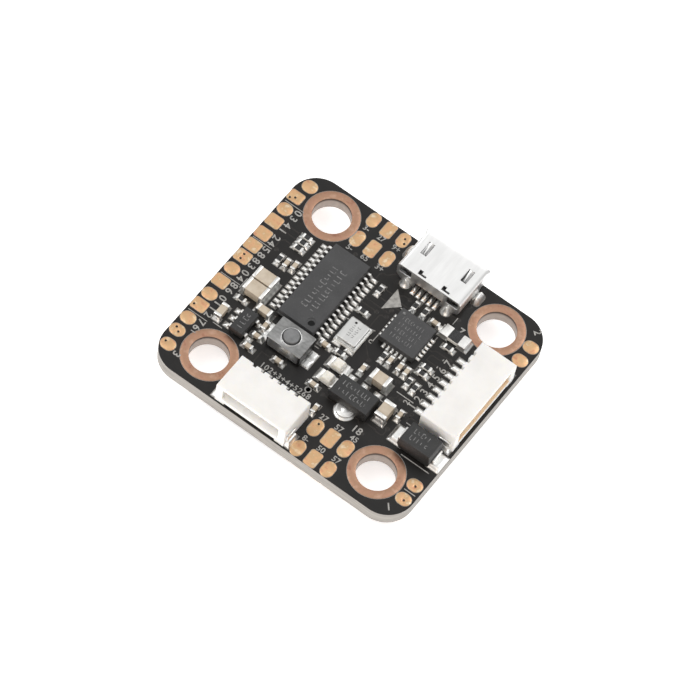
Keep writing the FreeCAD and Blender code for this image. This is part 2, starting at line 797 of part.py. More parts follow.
def front_pads(grow=0.0):
    """A block of two rows of three pads beside the front connector."""
    pads = []
    first_x = front_connector_x + front_housing_length / 2 + 1.2
    for index, is_oval in enumerate((True, False, True)):
        x = first_x + index * 1.8
        pads.append(pad(x, front_edge + pad_inset + 0.9, front_pad_width, 1.8, is_oval, grow))
        pads.append(pad(x, front_edge + 3.78, front_pad_width, 1.95, is_oval, grow))
    return pads


def right_pads(grow=0.0):
    """Two pairs of oval pads at the right edge, beside the two rings."""
    x = right_edge - right_pad_length / 2 - 0.2
    rows = (10.5, 8.65, -8.85, -10.7)
    return [pad(x, y, right_pad_length, right_pad_width, True, grow) for y in rows]


def via_places():
    """The small plated holes in the pads."""
    pad_x = left_edge + pad_inset + left_pad_depth / 2
    front_x = front_connector_x + front_housing_length / 2 + 1.2
    usb_side = usb_centre_x - usb_shell_width / 2
    places = [
        (pad_x, 9.4), (pad_x - 0.45, 9.1), (pad_x - 0.05, 1.1), (pad_x - 0.05, 0.5), (pad_x - 0.5, -6.4),
        (pad_x - 0.25, -9.5), (pad_x + 0.2, -9.85), (left_edge + 0.7, -11.4),
        (usb_side - 1.65, rear_edge - 0.7), (usb_side - 1.4, rear_edge - 1.2),
        (front_x, front_edge + 4.3),
        (right_edge - 0.9, -8.9), (right_edge - 0.9, -10.8),
    ]
    return places


def ring_keepouts():
    """The space that copper keeps clear round each mounting ring."""
    return Part.makeCompound([disc(ring_radius + ring_gap, -1, board_top + 1, x, y) for x, y in hole_places])


def via_drills(radius):
    """The drilled holes of the vias."""
    return Part.makeCompound([disc(radius, -1, board_top + 1, x, y) for x, y in via_places()])


def to_underside(shape):
    """A pad's twin on the lower face."""
    copy = shape.copy()
    copy.translate(Vector(0, 0, -(board_top - mask_thickness)))
    return copy


def board_outline_solid(z0, z1, inset=0.0):
    """The board's rounded outline between two heights."""
    length = board_length - 2 * inset
    width = board_width - 2 * inset
    radius = board_corner_radius - inset
    return rounded_block(length, width, z1 - z0, radius, board_shift_x, board_shift_y, z0)


pad_makers = {
    "left_edge_pads": left_pads,
    "rear_edge_pads": rear_pads,
    "front_edge_pads": front_pads,
    "right_edge_pads": right_pads,
}


def make_pads():
    """The pads on both faces, drilled and kept clear of the rings."""
    rings = ring_keepouts()
    drills = via_drills(via_radius)
    for node, maker in pad_makers.items():
        pads = [shape.cut(rings).cut(drills) for shape in maker()]
        keep(node, pads)
        keep("underside_pads", [to_underside(shape) for shape in pads])


def make_lands():
    """The component lands on both faces, inside the edge; lands that meet are one piece of copper."""
    rings = ring_keepouts()
    inside = board_outline_solid(-1, board_top + 1, pad_inset)
    for node, lands in (("component_lands_top", top_lands), ("component_lands_underside", under_lands)):
        joined = lands[0].fuse(lands[1:]).removeSplitter()
        keep(node, joined.cut(rings).common(inside).Solids)


def make_hole_platings():
    """A plated barrel with a ring on both faces at each mounting hole."""
    platings = []
    for x, y in hole_places:
        barrel = disc(mount_hole_radius + plating_thickness, 0, board_top, x, y)
        upper = disc(ring_radius, board_top - mask_thickness, board_top, x, y)
        lower = disc(ring_radius, 0, mask_thickness, x, y)
        plating = barrel.fuse([upper, lower]).removeSplitter()
        platings.append(plating.cut(disc(mount_hole_radius, -1, board_top + 1, x, y)))
    keep("hole_platings", platings)


def make_circuit_board():
    """The laminate between the two outer layers."""
    laminate = board_outline_solid(mask_thickness, board_top - mask_thickness)
    holes = [disc(mount_hole_radius + plating_thickness, -1, board_top + 1, x, y) for x, y in hole_places]
    laminate = laminate.cut(Part.makeCompound(holes)).cut(via_drills(via_radius))
    keep("circuit_board", [laminate])


def make_masks():
    """The two solder mask films, open over every pad, land and ring."""
    ring_openings = [disc(ring_radius + mask_gap, -1, board_top + 1, x, y) for x, y in hole_places]
    pad_openings = [shape for maker in pad_makers.values() for shape in maker(mask_gap)]
    top = board_outline_solid(board_top - mask_thickness, board_top)
    top = top.cut(ring_openings + pad_openings + top_openings)
    under = board_outline_solid(0, mask_thickness)
    twin_openings = [to_underside(shape) for shape in pad_openings]
    under = under.cut(ring_openings + twin_openings + under_openings)
    keep("solder_mask_top", top.Solids)
    keep("solder_mask_underside", under.Solids)


# ---------------------------------------------------------------- the whole board
def place_top_parts():
    """Everything on the upper face, each group from the rear edge forward."""
    fit_component(*usb_socket(), usb_centre_x, rear_edge + usb_overhang)
    fit_component(*wire_connector("front_connector", front_contact_count), front_connector_x,
                  front_edge + front_connector_setback)
    fit_component(*wire_connector("right_connector", right_contact_count),
                  right_edge - right_connector_setback, right_connector_y, 90)
    fit_component(*osd_chip(), -5.5, 2.5)
    fit_component(*gyro_chip(), 3.7, 3.7)
    fit_component(*barometer(), -0.5, 0.45)
    fit_component(*button(), button_x, button_y)
    fit_component(*small_regulator(), -9.35, -5.35)
    fit_component(*power_regulator(), 3.75, -5.3)
    diode_y = right_connector_y - right_housing_length / 2 - tab_thickness - 1.55
    fit_component(*power_diode(), right_edge - 2.95, diode_y)
    fit_component(*fuse(), 7.45, 6.55)
    for y in (-3.15, -4.95):
        fit_component(*led(), 0.45, y)


def place_top_passives():
    """The small capacitors and resistors between the chips."""
    bulk = capacitor("bulk_capacitor", *bulk_capacitor_size)
    for x, y, turn in ((-10.6, -0.2, 0), (-10.6, -1.8, 0)):
        fit_component(*bulk, x, y, turn)
    filter_capacitor = capacitor("filter_capacitor", *filter_capacitor_size)
    for x, y, turn in ((4.6, -2.05, 0), (6.95, -4.55, 90)):
        fit_component(*filter_capacitor, x, y, turn)
    medium = capacitor("small_capacitor", *medium_capacitor_size)
    for x, y, turn in ((-8.65, -3.0, 0), (-11.85, -5.6, 90)):
        fit_component(*medium, x, y, turn)
    small = capacitor("small_capacitor", *small_capacitor_size)
    small_places = (
        (-10.2, 2.75, 90), (-9.4, 3.0, 90), (-7.65, -4.15, 90), (-7.6, -5.55, 0), (-7.6, -7.0, 0),
        (-1.95, -2.1, 0), (4.0, 0.45, 90), (5.15, 0.45, 90), (5.95, 0.45, 90), (4.95, 6.6, 0),
        (2.45, -1.95, 90), (8.2, -3.75, 90), (1.45, -8.4, 90), (-0.25, -6.35, 0), (-4.4, -6.45, 0),
    )
    for x, y, turn in small_places:
        fit_component(*small, x, y, turn)
    chip_resistor = resistor(*resistor_size)
    resistor_places = (
        (-10.35, 6.35, 0), (-10.35, 5.6, 0), (-10.35, 4.85, 0), (-11.05, 2.75, 90), (-11.25, -3.2, 0),
        (-1.3, 3.2, 0), (-1.4, 6.2, 90), (2.35, 6.95, 90), (3.5, 6.95, 90), (7.55, 5.2, 0), (3.2, 0.45, 90),
        (7.2, 2.1, 0), (7.2, 1.3, 0), (6.75, -0.3, 90), (7.6, -0.45, 90), (-0.3, -1.9, 0),
    )
    for x, y, turn in resistor_places:
        fit_component(*chip_resistor, x, y, turn)


def place_underside_parts():
    """The processor, memory, crystal and their small parts on the lower face."""
    fit_component(*main_processor(), 0.5, 1.0, 0, True)
    fit_component(*flash_chip(), -3.9, -9.0, 0, True)
    fit_component(*crystal(), -8.2, 1.6, 90, True)
    small = capacitor("small_capacitor", *small_capacitor_size)
    capacitor_places = (
        (-8.2, -1.2, 0), (-8.2, 4.6, 0), (-8.2, 5.6, 0), (-0.9, 8.9, 0), (0.9, 8.9, 0), (4.6, 8.9, 0),
        (8.6, 4.6, 90), (9.6, 4.6, 90), (8.6, 1.6, 90), (8.6, -1.4, 90), (1.4, -7.4, 90), (2.4, -7.4, 90),
        (3.4, -7.4, 90), (-8.2, -2.2, 0),
    )
    for x, y, turn in capacitor_places:
        fit_component(*small, x, y, turn, True)
    chip_resistor = resistor(*resistor_size)
    resistor_places = (
        (10.6, 4.6, 90), (9.6, 1.6, 90), (10.6, 1.6, 90), (9.6, -1.4, 90), (-11.0, 4.6, 0), (-11.0, 3.6, 0),
        (4.6, -7.4, 90), (5.6, -7.4, 90), (2.7, 8.9, 0), (-11.0, -1.2, 0),
    )
    for x, y, turn in resistor_places:
        fit_component(*chip_resistor, x, y, turn, True)


def write_node(node, shapes):
    """Write one node's solids to its file."""
    solids = [solid for shape in shapes for solid in shape.Solids]
    whole = solids[0] if len(solids) == 1 else Part.makeCompound(solids)
    whole.exportStep("parts/" + node + ".step")
    print(node, len(solids), "solids", round(sum(solid.Volume for solid in solids), 3), "mm3")


def main():
    os.makedirs("parts", exist_ok=True)
    place_top_parts()
    place_top_passives()
    place_underside_parts()
    make_lands()
    make_pads()
    make_hole_platings()
    make_circuit_board()
    make_masks()
    for node in sorted(nodes):
        write_node(node, nodes[node])
    print(len(nodes), "nodes")


main()
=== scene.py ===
import math
import random

import bmesh
import bpy
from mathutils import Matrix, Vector


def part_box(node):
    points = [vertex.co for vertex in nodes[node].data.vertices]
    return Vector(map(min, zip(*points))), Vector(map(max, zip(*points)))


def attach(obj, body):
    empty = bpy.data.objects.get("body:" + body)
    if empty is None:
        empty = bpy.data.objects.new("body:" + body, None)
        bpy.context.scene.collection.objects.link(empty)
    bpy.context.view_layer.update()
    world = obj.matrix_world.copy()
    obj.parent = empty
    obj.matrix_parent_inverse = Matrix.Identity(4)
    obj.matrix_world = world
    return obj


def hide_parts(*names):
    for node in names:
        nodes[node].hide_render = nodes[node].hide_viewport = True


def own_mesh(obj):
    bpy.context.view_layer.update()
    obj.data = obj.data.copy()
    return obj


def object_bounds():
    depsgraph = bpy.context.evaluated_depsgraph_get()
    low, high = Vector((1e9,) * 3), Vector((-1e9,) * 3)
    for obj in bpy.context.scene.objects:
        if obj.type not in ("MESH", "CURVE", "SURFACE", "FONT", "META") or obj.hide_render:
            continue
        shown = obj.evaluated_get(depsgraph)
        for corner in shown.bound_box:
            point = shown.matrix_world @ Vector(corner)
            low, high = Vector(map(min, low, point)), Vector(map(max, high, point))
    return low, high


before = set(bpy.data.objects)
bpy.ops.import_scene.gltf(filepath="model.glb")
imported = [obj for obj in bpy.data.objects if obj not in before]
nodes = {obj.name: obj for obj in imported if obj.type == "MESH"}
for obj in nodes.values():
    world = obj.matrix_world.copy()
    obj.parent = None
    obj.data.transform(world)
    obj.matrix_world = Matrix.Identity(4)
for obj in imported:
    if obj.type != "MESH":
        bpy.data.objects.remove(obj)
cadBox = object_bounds()
scene = bpy.context.scene
mm = 0.001
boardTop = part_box("solder_mask_top")[1].z
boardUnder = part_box("solder_mask_underside")[0].z
print("frame loaded,", len(nodes), "CAD nodes")


# the camera, then the lights
view = {
    "azimuth": 25.766,      # degrees round from straight in front
    "elevation": 60.768,
    "roll": 11.94,
    "focalLength": 234.57,
    "sensor": 36,           # mm wide
    "clip": (0.01, 5),      # nearest and furthest seen, in metres
    "distance": 440.59,     # mm from the middle of the hole pattern
    "shiftRight": -0.377,   # mm
    "shiftUp": -0.758,
}


def directionTo(azimuth, elevation):    # unit vector from the board towards that place, angles in degrees
    around, up = math.radians(azimuth), math.radians(elevation)
    return Vector((math.sin(around) * math.cos(up), -math.cos(around) * math.cos(up), math.sin(up)))


def addCamera(settings):
    back = directionTo(settings["azimuth"], settings["elevation"])
    level = Vector((0, 0, 1)).cross(back).normalized()
    above = back.cross(level)
    roll = math.radians(settings["roll"])
    right = level * math.cos(roll) + above * math.sin(roll)
    up = above * math.cos(roll) - level * math.sin(roll)
    data = bpy.data.cameras.new("camera")
    data.lens = settings["focalLength"]
    data.sensor_width = settings["sensor"]
    data.clip_start, data.clip_end = settings["clip"]
    camera = bpy.data.objects.new("camera", data)
    scene.collection.objects.link(camera)
    place = back * settings["distance"] + right * settings["shiftRight"] + up * settings["shiftUp"]
    place = place * mm + Vector((0, 0, boardTop))
    for column, axis in enumerate((right, up, back)):
        for row in range(3):
            camera.matrix_world[row][column] = axis[row]
    camera.matrix_world.translation = place
    scene.camera = camera


softboxes = [   # name, where it hangs in degrees, its distance and side in mm, watts and tint
    ("leftKey", 292, 54, 420, 220, 0.5, "#FFFFFF"),
    ("backKey", 150, 46, 420, 220, 0.42, "#FFFFFF"),
    ("frontFill", 15, 26, 450, 260, 0.5, "#FFEBD8"),
    ("ceilingBounce", 206, 61, 450, 480, 0.16, "#FFFFFF"),
]
studio = {"floorSide": 1.6, "floorGap": 0.02, "worldHex": "#FFFFFF", "worldStrength": 0.64}


def linearColour(hexText):
    channels = [int(hexText[place:place + 2], 16) / 255 for place in (1, 3, 5)]
    linear = [c / 12.92 if c <= 0.04045 else ((c + 0.055) / 1.055) ** 2.4 for c in channels]
    return (*linear, 1.0)


def addNode(tree, kind, settings=None, links=None):
    node = tree.nodes.new(kind)
    for name, value in (settings or {}).items():
        if name == "ramp":
            while len(node.color_ramp.elements) < len(value):
                node.color_ramp.elements.new(0.5)
            for element, (position, hexText) in zip(node.color_ramp.elements, value):
                element.position = position
                element.color = linearColour(hexText)
        elif name in node.inputs:
            node.inputs[name].default_value = value
        else:
            setattr(node, name, value)
    for name, source in (links or {}).items():
        tree.links.new(source, node.inputs[name])
    return node


def addLights():
    for name, azimuth, elevation, distance, side, power, hexText in softboxes:
        away = directionTo(azimuth, elevation)
        data = bpy.data.lights.new(name, "AREA")
        data.shape = "SQUARE"
        data.size = side * mm
        data.energy = power
        data.color = linearColour(hexText)[:3]
        lamp = bpy.data.objects.new(name, data)
        lamp.location = away * distance * mm
        lamp.rotation_euler = away.to_track_quat("Z", "Y").to_euler()
        scene.collection.objects.link(lamp)
    world = bpy.data.worlds.new("paleRoom")
    world.use_nodes = True
    backdrop = world.node_tree.nodes["Background"]
    backdrop.inputs["Color"].default_value = linearColour(studio["worldHex"])
    backdrop.inputs["Strength"].default_value = studio["worldStrength"]
    scene.world = world
    scene.view_settings.view_transform = "Standard"


addCamera(view)
addLights()
print("camera and lights placed")


# materials: each pattern's size is in mm on the real part
def zoneShare(tree, place, zone):    # 1 on the zone's faces and heights, 0 elsewhere
    normal = addNode(tree, "ShaderNodeTexCoord").outputs["Normal"]
    facing = addNode(tree, "ShaderNodeSeparateXYZ", links={"Vector": normal})
    upward = addNode(tree, "ShaderNodeMath", {"operation": "ABSOLUTE"}, {0: facing.outputs["Z"]})
    start, full = (0.8, 0.95) if zone["facing"] == "flat" else (0.5, 0.2)
    turned = addNode(
        tree, "ShaderNodeMapRange", {"From Min": start, "From Max": full}, {"Value": upward.outputs["Value"]}
    )
    height = addNode(tree, "ShaderNodeSeparateXYZ", links={"Vector": place})
    level = addNode(
        tree, "ShaderNodeMapRange",
        {"From Min": zone["none"] * mm, "From Max": zone["full"] * mm, "To Max": zone["share"]},
        {"Value": height.outputs["Z"]},
    )
    both = {0: turned.outputs["Result"], 1: level.outputs["Result"]}
    return addNode(tree, "ShaderNodeMath", {"operation": "MULTIPLY"}, both).outputs["Value"]


def makeMaterial(look):
    material = bpy.data.materials.new(look["name"])
    material.use_nodes = True
    tree = material.node_tree
    shader = tree.nodes["Principled BSDF"]
    for name, value in look["shader"].items():
        shader.inputs[name].default_value = value
    place = addNode(tree, "ShaderNodeTexCoord").outputs["Object"]
    stretched = addNode(
        tree, "ShaderNodeMapping", {"Scale": look.get("stretch", (1, 1, 1))}, {"Vector": place}
    ).outputs["Vector"]
    tone = addNode(
        tree, "ShaderNodeTexNoise",
        {"Scale": 1 / (look["toneSize"] * mm), "Detail": 3.0, "Roughness": 0.55},
        {"Vector": stretched},
    )
    colour = addNode(
        tree, "ShaderNodeValToRGB", {"ramp": look["tones"]}, {"Fac": tone.outputs["Fac"]}
    ).outputs["Color"]
    if "specks" in look:    # small darker or paler spots
        specks = look["specks"]
        spots = addNode(
            tree, "ShaderNodeTexVoronoi", {"Scale": 1 / (specks["spacing"] * mm)}, {"Vector": place}
        )
        inside = addNode(
            tree, "ShaderNodeMapRange",
            {"From Min": specks["radius"], "From Max": specks["radius"] * 0.5, "To Max": specks["strength"]},
            {"Value": spots.outputs["Distance"]},
        )
        colour = addNode(
            tree, "ShaderNodeMixRGB", {"Color2": linearColour(specks["hex"])},
            {"Fac": inside.outputs["Result"], "Color1": colour},
        ).outputs["Color"]
    for zone in look.get("zones", []):    # faces given another colour: plating, painted shade, painted highlight or painted light
        colour = addNode(
            tree, "ShaderNodeMixRGB", {"Color2": linearColour(zone["hex"])},
            {"Fac": zoneShare(tree, place, zone), "Color1": colour},
        ).outputs["Color"]
    tree.links.new(colour, shader.inputs["Base Color"])
    smudge = addNode(
        tree, "ShaderNodeTexNoise",
        {"Scale": 1 / (look["smudgeSize"] * mm), "Detail": 4.0},
        {"Vector": stretched},
    )
    gloss = addNode(
        tree, "ShaderNodeMapRange",
        {"From Min": 0.3, "From Max": 0.7, "To Min": look["roughness"][0], "To Max": look["roughness"][1]},
        {"Value": smudge.outputs["Fac"]},
    )
    tree.links.new(gloss.outputs["Result"], shader.inputs["Roughness"])
    grain = addNode(
        tree, "ShaderNodeTexNoise",
        {"Scale": 1 / (look["grainSize"] * mm), "Detail": 2.0},
        {"Vector": stretched},
    )
    height = grain.outputs["Fac"]
    if "weave" in look:    # glass cloth showing through a thin film, as crossed waves
        crossed = [
            addNode(
                tree, "ShaderNodeTexWave",
                {"bands_direction": axis, "Scale": 0.314 / (look["weave"] * mm), "Distortion": 0.4, "Detail": 1.0},
                {"Vector": place},
            ).outputs["Fac"]
            for axis in ("X", "Y")
        ]
        cloth = addNode(
            tree, "ShaderNodeMath", {"operation": "MULTIPLY"}, {0: crossed[0], 1: crossed[1]}
        )
        height = addNode(
            tree, "ShaderNodeMath", {"operation": "ADD"}, {0: height, 1: cloth.outputs["Value"]}
        ).outputs["Value"]
    bump = addNode(
        tree, "ShaderNodeBump",
        {"Strength": look.get("bumpStrength", 0.5), "Distance": look["grainDepth"] * mm},
        {"Height": height},
    )
    tree.links.new(bump.outputs["Normal"], shader.inputs["Normal"])
    return material


blackSolderMask = makeMaterial({    # semi-gloss liquid film: near black with a soft shine and faint cloth print
    "name": "blackSolderMask",
    "shader": {"IOR": 1.52, "Specular IOR Level": 0.34},
    "tones": [(0.3, "#0F0E0D"), (0.7, "#191614")], "toneSize": 2.2,
    "smudgeSize": 0.9, "roughness": (0.34, 0.46),
    "grainSize": 0.16, "grainDepth": 0.004, "weave": 0.6,
})
maskedCopper = makeMaterial({    # the same film where it rides over a track: a shade paler and smoother
    "name": "blackSolderMaskOverCopper",
    "shader": {"IOR": 1.52, "Specular IOR Level": 0.34},
    "tones": [(0.3, "#201D1B"), (0.7, "#2E2A27")], "toneSize": 0.8,
    "smudgeSize": 0.5, "roughness": (0.26, 0.36),
    "grainSize": 0.16, "grainDepth": 0.003,
})
glassEpoxyLaminate = makeMaterial({    # routed edge: dull beige resin with grey bands of glass cloth
    "name": "glassEpoxyLaminate",
    "shader": {"IOR": 1.55},
    "tones": [(0.25, "#8B8782"), (0.5, "#9C9893"), (0.75, "#ABA7A1")], "toneSize": 0.22,
    "stretch": (0.06, 0.06, 1.0),    # cloth layers lie flat, about 0.2 mm apart
    "smudgeSize": 0.3, "roughness": (0.6, 0.8),
    "grainSize": 0.07, "grainDepth": 0.02,
})
bareCopper = makeMaterial({    # plated and left uncoated: satin, reddish tan, slightly tarnished
    "name": "bareCopperPlating",
    "shader": {"Metallic": 1.0},
    "tones": [(0.3, "#A37863"), (0.42, "#B58D77"), (0.55, "#AF8A72"), (0.7, "#C29E88")],
    "toneSize": 0.9, "smudgeSize": 0.35, "roughness": (0.36, 0.52),
    "grainSize": 0.08, "grainDepth": 0.006,
    "zones": [    # the bored wall keeps its pale tin, with painted shade as a dark band just below the top rim
        {"facing": "side", "none": -9.0, "full": -8.0, "share": 0.85, "hex": "#A8A19B"},
        # painted shade: side faces just under the board's top face are darkened
        {
            "facing": "side", "none": boardTop / mm - 0.5, "full": boardTop / mm - 0.2,
            "share": 0.9, "hex": "#4A3F39",
        },
    ],
})
goldFlash = makeMaterial({    # thin immersion gold over nickel: soft sheen, pale orange to straw
    "name": "immersionGold",
    "shader": {"Metallic": 1.0},
    "tones": [(0.3, "#D09778"), (0.42, "#DDB288"), (0.56, "#D2AE84"), (0.7, "#E8D5B8")], "toneSize": 0.8,
    "smudgeSize": 0.3, "roughness": (0.34, 0.48),
    "grainSize": 0.07, "grainDepth": 0.005,
})
tinSolder = makeMaterial({    # reflowed solder: bright and liquid, with frosty patches
    "name": "reflowedSolder",
    "shader": {"Metallic": 1.0},
    "tones": [(0.3, "#E4E4E2"), (0.7, "#F7F7F5")], "toneSize": 0.25,
    "smudgeSize": 0.2, "roughness": (0.3, 0.46),
    "grainSize": 0.14, "grainDepth": 0.004,
})
tinPlate = makeMaterial({    # matt plated ends and leads: pale silver
    "name": "mattTinPlate",
    "shader": {"Metallic": 1.0},
    "tones": [(0.3, "#E2E1DE"), (0.7, "#F6F5F2")], "toneSize": 0.3,
    "smudgeSize": 0.15, "roughness": (0.34, 0.48),
    "grainSize": 0.07, "grainDepth": 0.003,
})
nickelSheet = {    # pressed sheet: nearly white, very fine drawing lines
    "name": "nickelPlatedSteel",
    "shader": {"Metallic": 1.0},
    "tones": [(0.3, "#CFCFCD"), (0.7, "#DFDFDD")], "toneSize": 0.5,
    "stretch": (1.0, 0.12, 1.0),
    "smudgeSize": 0.3, "roughness": (0.3, 0.42),
    "grainSize": 0.06, "grainDepth": 0.002,
}
nickelPlatedSteel = makeMaterial(nickelSheet)
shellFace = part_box("usb_shell")[1].z / mm - 0.2    # the flat roof lies below the flared lip
nickelPlatedShell = makeMaterial({    # the same sheet, whiter, with painted shade greying its up-facing sprung tongues and feet below the roof
    **nickelSheet, "name": "nickelPlatedShell",
    "tones": [(0.3, "#EDEDEC"), (0.7, "#F7F7F6")],
    "zones": [
        # painted shade: up-facing faces below the flat roof turn mid grey
        {"facing": "flat", "none": shellFace - 0.02, "full": shellFace - 0.14, "share": 1.0, "hex": "#868686"},
    ],
})
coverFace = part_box("button_cover")[1].z / mm - 0.08    # the collar stands this far above it
stainlessSteel = makeMaterial({    # stamped key cover: mid grey with a brushed face
    "name": "brushedStainlessSteel",
    "shader": {"Metallic": 1.0},
    "tones": [(0.3, "#7C7C7B"), (0.7, "#A3A3A2")], "toneSize": 0.4,
    "stretch": (0.4, 1.0, 1.0),
    "smudgeSize": 0.25, "roughness": (0.3, 0.44),
    "grainSize": 0.05, "grainDepth": 0.004,
    "zones": [    # painted highlight: the bent skirt's sides and the collar's top round the key are painted pale
        {"facing": "side", "none": -9.0, "full": -8.0, "share": 1.0, "hex": "#EFEFEE"},
        {"facing": "flat", "none": coverFace + 0.01, "full": coverFace + 0.05, "share": 1.0, "hex": "#DADAD9"},
    ],
})
nylonMoulding = {    # glass-filled moulding: clean white, satin, light passing a little way in
    "name": "whiteNylon",
    "shader": {
        "IOR": 1.53, "Subsurface Weight": 0.35,
        "Subsurface Radius": (0.7 * mm, 0.6 * mm, 0.45 * mm), "Subsurface Scale": 1.0,
    },
    "tones": [(0.3, "#E2E1DF"), (0.7, "#EBEAE8")], "toneSize": 2.5,
    "smudgeSize": 0.8, "roughness": (0.42, 0.55),
    "grainSize": 0.12, "grainDepth": 0.004,
}
cavityFloor = boardTop / mm + 0.8
cavityZone = {"facing": "flat", "none": cavityFloor + 0.5, "full": cavityFloor + 0.1}
whiteNylon = makeMaterial({    # light that soaks through the roof keeps the cavity floor pale
    **nylonMoulding, "zones": [{**cavityZone, "share": 1.0, "hex": "#FFFDF8"}],
})
mouthNylon = makeMaterial({    # the same moulding, its cavity floor painted peach as warm reflection and shade from the contacts
    **nylonMoulding, "name": "whiteNylonMouthPaintedShade",
    "zones": [{**cavityZone, "share": 0.9, "hex": "#E9C9A4"}],
})
greyNylon = makeMaterial({    # key plunger: mid grey, dull, with a turned face
    "name": "greyNylon",
    "shader": {"IOR": 1.53},
    "tones": [(0.3, "#6A6B6C"), (0.7, "#7B7C7D")], "toneSize": 0.5,
    "smudgeSize": 0.3, "roughness": (0.38, 0.52),
    "grainSize": 0.06, "grainDepth": 0.005,
})
blackPolyester = makeMaterial({    # moulded liner: black and fairly dull
    "name": "blackPolyester",
    "shader": {"IOR": 1.57},
    "tones": [(0.3, "#131313"), (0.7, "#1D1D1D")], "toneSize": 0.8,
    "smudgeSize": 0.3, "roughness": (0.42, 0.56),
    "grainSize": 0.08, "grainDepth": 0.005,
})
mouldingGrit = {"spacing": 0.16, "radius": 0.22, "strength": 0.35, "hex": "#6A6A6A"}
greyMouldCompound = makeMaterial({    # spark-finished package top: even dark grey with a fine grit
    "name": "greyMouldCompound",
    "shader": {"IOR": 1.55},
    "tones": [(0.3, "#333334"), (0.7, "#3E3E3F")], "toneSize": 1.6,
    "smudgeSize": 0.4, "roughness": (0.5, 0.64), "specks": mouldingGrit,
    "grainSize": 0.07, "grainDepth": 0.012,    # real grit is about half this size
})
blackMouldCompound = makeMaterial({    # smoother and darker compound of the power parts
    "name": "blackMouldCompound",
    "shader": {"IOR": 1.55},
    "tones": [(0.3, "#1B1B1B"), (0.7, "#262626")], "toneSize": 1.2,
    "smudgeSize": 0.4, "roughness": (0.42, 0.58), "specks": {**mouldingGrit, "strength": 0.2},
    "grainSize": 0.08, "grainDepth": 0.012,
})
polishedCompound = makeMaterial({    # ejector-pin mark: the same compound, smooth and darker
    "name": "polishedMouldCompound",
    "shader": {"IOR": 1.55, "Specular IOR Level": 0.15},
    "tones": [(0.3, "#0B0B0B"), (0.7, "#151515")], "toneSize": 0.4,
    "smudgeSize": 0.2, "roughness": (0.3, 0.4),
    "grainSize": 0.1, "grainDepth": 0.002,
})
beigeCeramic = makeMaterial({    # fired capacitor body: warm beige, slightly waxy
    "name": "beigeCeramic",
    "shader": {"IOR": 1.6, "Coat Weight": 0.15, "Coat Roughness": 0.25},
    "tones": [(0.3, "#B2A38E"), (0.7, "#C5B9A7")], "toneSize": 0.9,
    "smudgeSize": 0.4, "roughness": (0.4, 0.55),
    "grainSize": 0.06, "grainDepth": 0.004,
})
whiteCeramic = makeMaterial({    # alumina: chalky white with a tight grain
    "name": "whiteAlumina",
    "shader": {"IOR": 1.7},
    "tones": [(0.3, "#DBD9D3"), (0.7, "#ECEAE4")], "toneSize": 0.7,
    "smudgeSize": 0.3, "roughness": (0.45, 0.6),
    "grainSize": 0.05, "grainDepth": 0.004,
})
blackGlaze = makeMaterial({    # glass overcoat on a thick film: black and shiny
    "name": "blackGlaze",
    "shader": {"IOR": 1.5, "Coat Weight": 0.3, "Coat Roughness": 0.1},
    "tones": [(0.3, "#161617"), (0.7, "#222223")], "toneSize": 0.4,
    "smudgeSize": 0.2, "roughness": (0.22, 0.36),
    "grainSize": 0.1, "grainDepth": 0.006,
})
clearEpoxy = makeMaterial({    # diffusing lens: milky cream with a wet shine
    "name": "milkyEpoxy",
    "shader": {
        "IOR": 1.5, "Subsurface Weight": 0.5, "Subsurface Scale": 1.0,
        "Subsurface Radius": (0.4 * mm, 0.36 * mm, 0.3 * mm), "Coat Weight": 0.3, "Coat Roughness": 0.12,
    },
    "tones": [(0.3, "#E0DCD2"), (0.7, "#EAE7DF")], "toneSize": 0.6,
    "smudgeSize": 0.3, "roughness": (0.22, 0.34),
    "grainSize": 0.1, "grainDepth": 0.004,
})
bareSilicon = makeMaterial({    # sensor die: dark blue grey mirror with cell pattern
    "name": "bareSilicon",
    "shader": {"Metallic": 0.6, "IOR": 3.4},
    "tones": [(0.3, "#2D3138"), (0.7, "#474D58")], "toneSize": 0.1,
    "smudgeSize": 0.1, "roughness": (0.12, 0.2),
    "grainSize": 0.05, "grainDepth": 0.002,
})
whiteInk = makeMaterial({    # screened legend: thin matt grey-white ink with worn patches
    "name": "screenedInk",
    "shader": {"IOR": 1.5},
    "tones": [(0.3, "#84827F"), (0.6, "#A9A7A3")], "toneSize": 0.3,
    "smudgeSize": 0.2, "roughness": (0.6, 0.75),
    "grainSize": 0.06, "grainDepth": 0.006,
})
laserMark = makeMaterial({    # burnt marks on a package: pale grey and powdery
    "name": "laserMark",
    "shader": {"IOR": 1.5},
    "tones": [(0.35, "#4E4E4E"), (0.65, "#868686")], "toneSize": 0.16,
    "smudgeSize": 0.1, "roughness": (0.7, 0.85),
    "grainSize": 0.04, "grainDepth": 0.006,
})
studioPaper = makeMaterial({    # seamless paper: white and matt
    "name": "studioPaper",
    "shader": {
        "IOR": 1.3, "Specular IOR Level": 0.2,
        "Emission Color": (1, 1, 1, 1), "Emission Strength": 0.6,    # light table under the paper
    },
    "tones": [(0.3, "#FBFBFB"), (0.7, "#FFFFFF")], "toneSize": 60.0,
    "smudgeSize": 20.0, "roughness": (0.85, 0.95),
    "grainSize": 1.0, "grainDepth": 0.01,
})
print("materials made:", len(bpy.data.materials))

floorMesh = bpy.data.meshes.new("floor")
half = studio["floorSide"] / 2
floorMesh.from_pydata(
    [(-half, -half, 0), (half, -half, 0), (half, half, 0), (-half, half, 0)], [], [(0, 1, 2, 3)]
)
floorMesh.materials.append(studioPaper)
floor = bpy.data.objects.new("floor", floorMesh)
floor.location.z = cadBox[0][2] - studio["floorGap"] * mm
scene.collection.objects.link(floor)


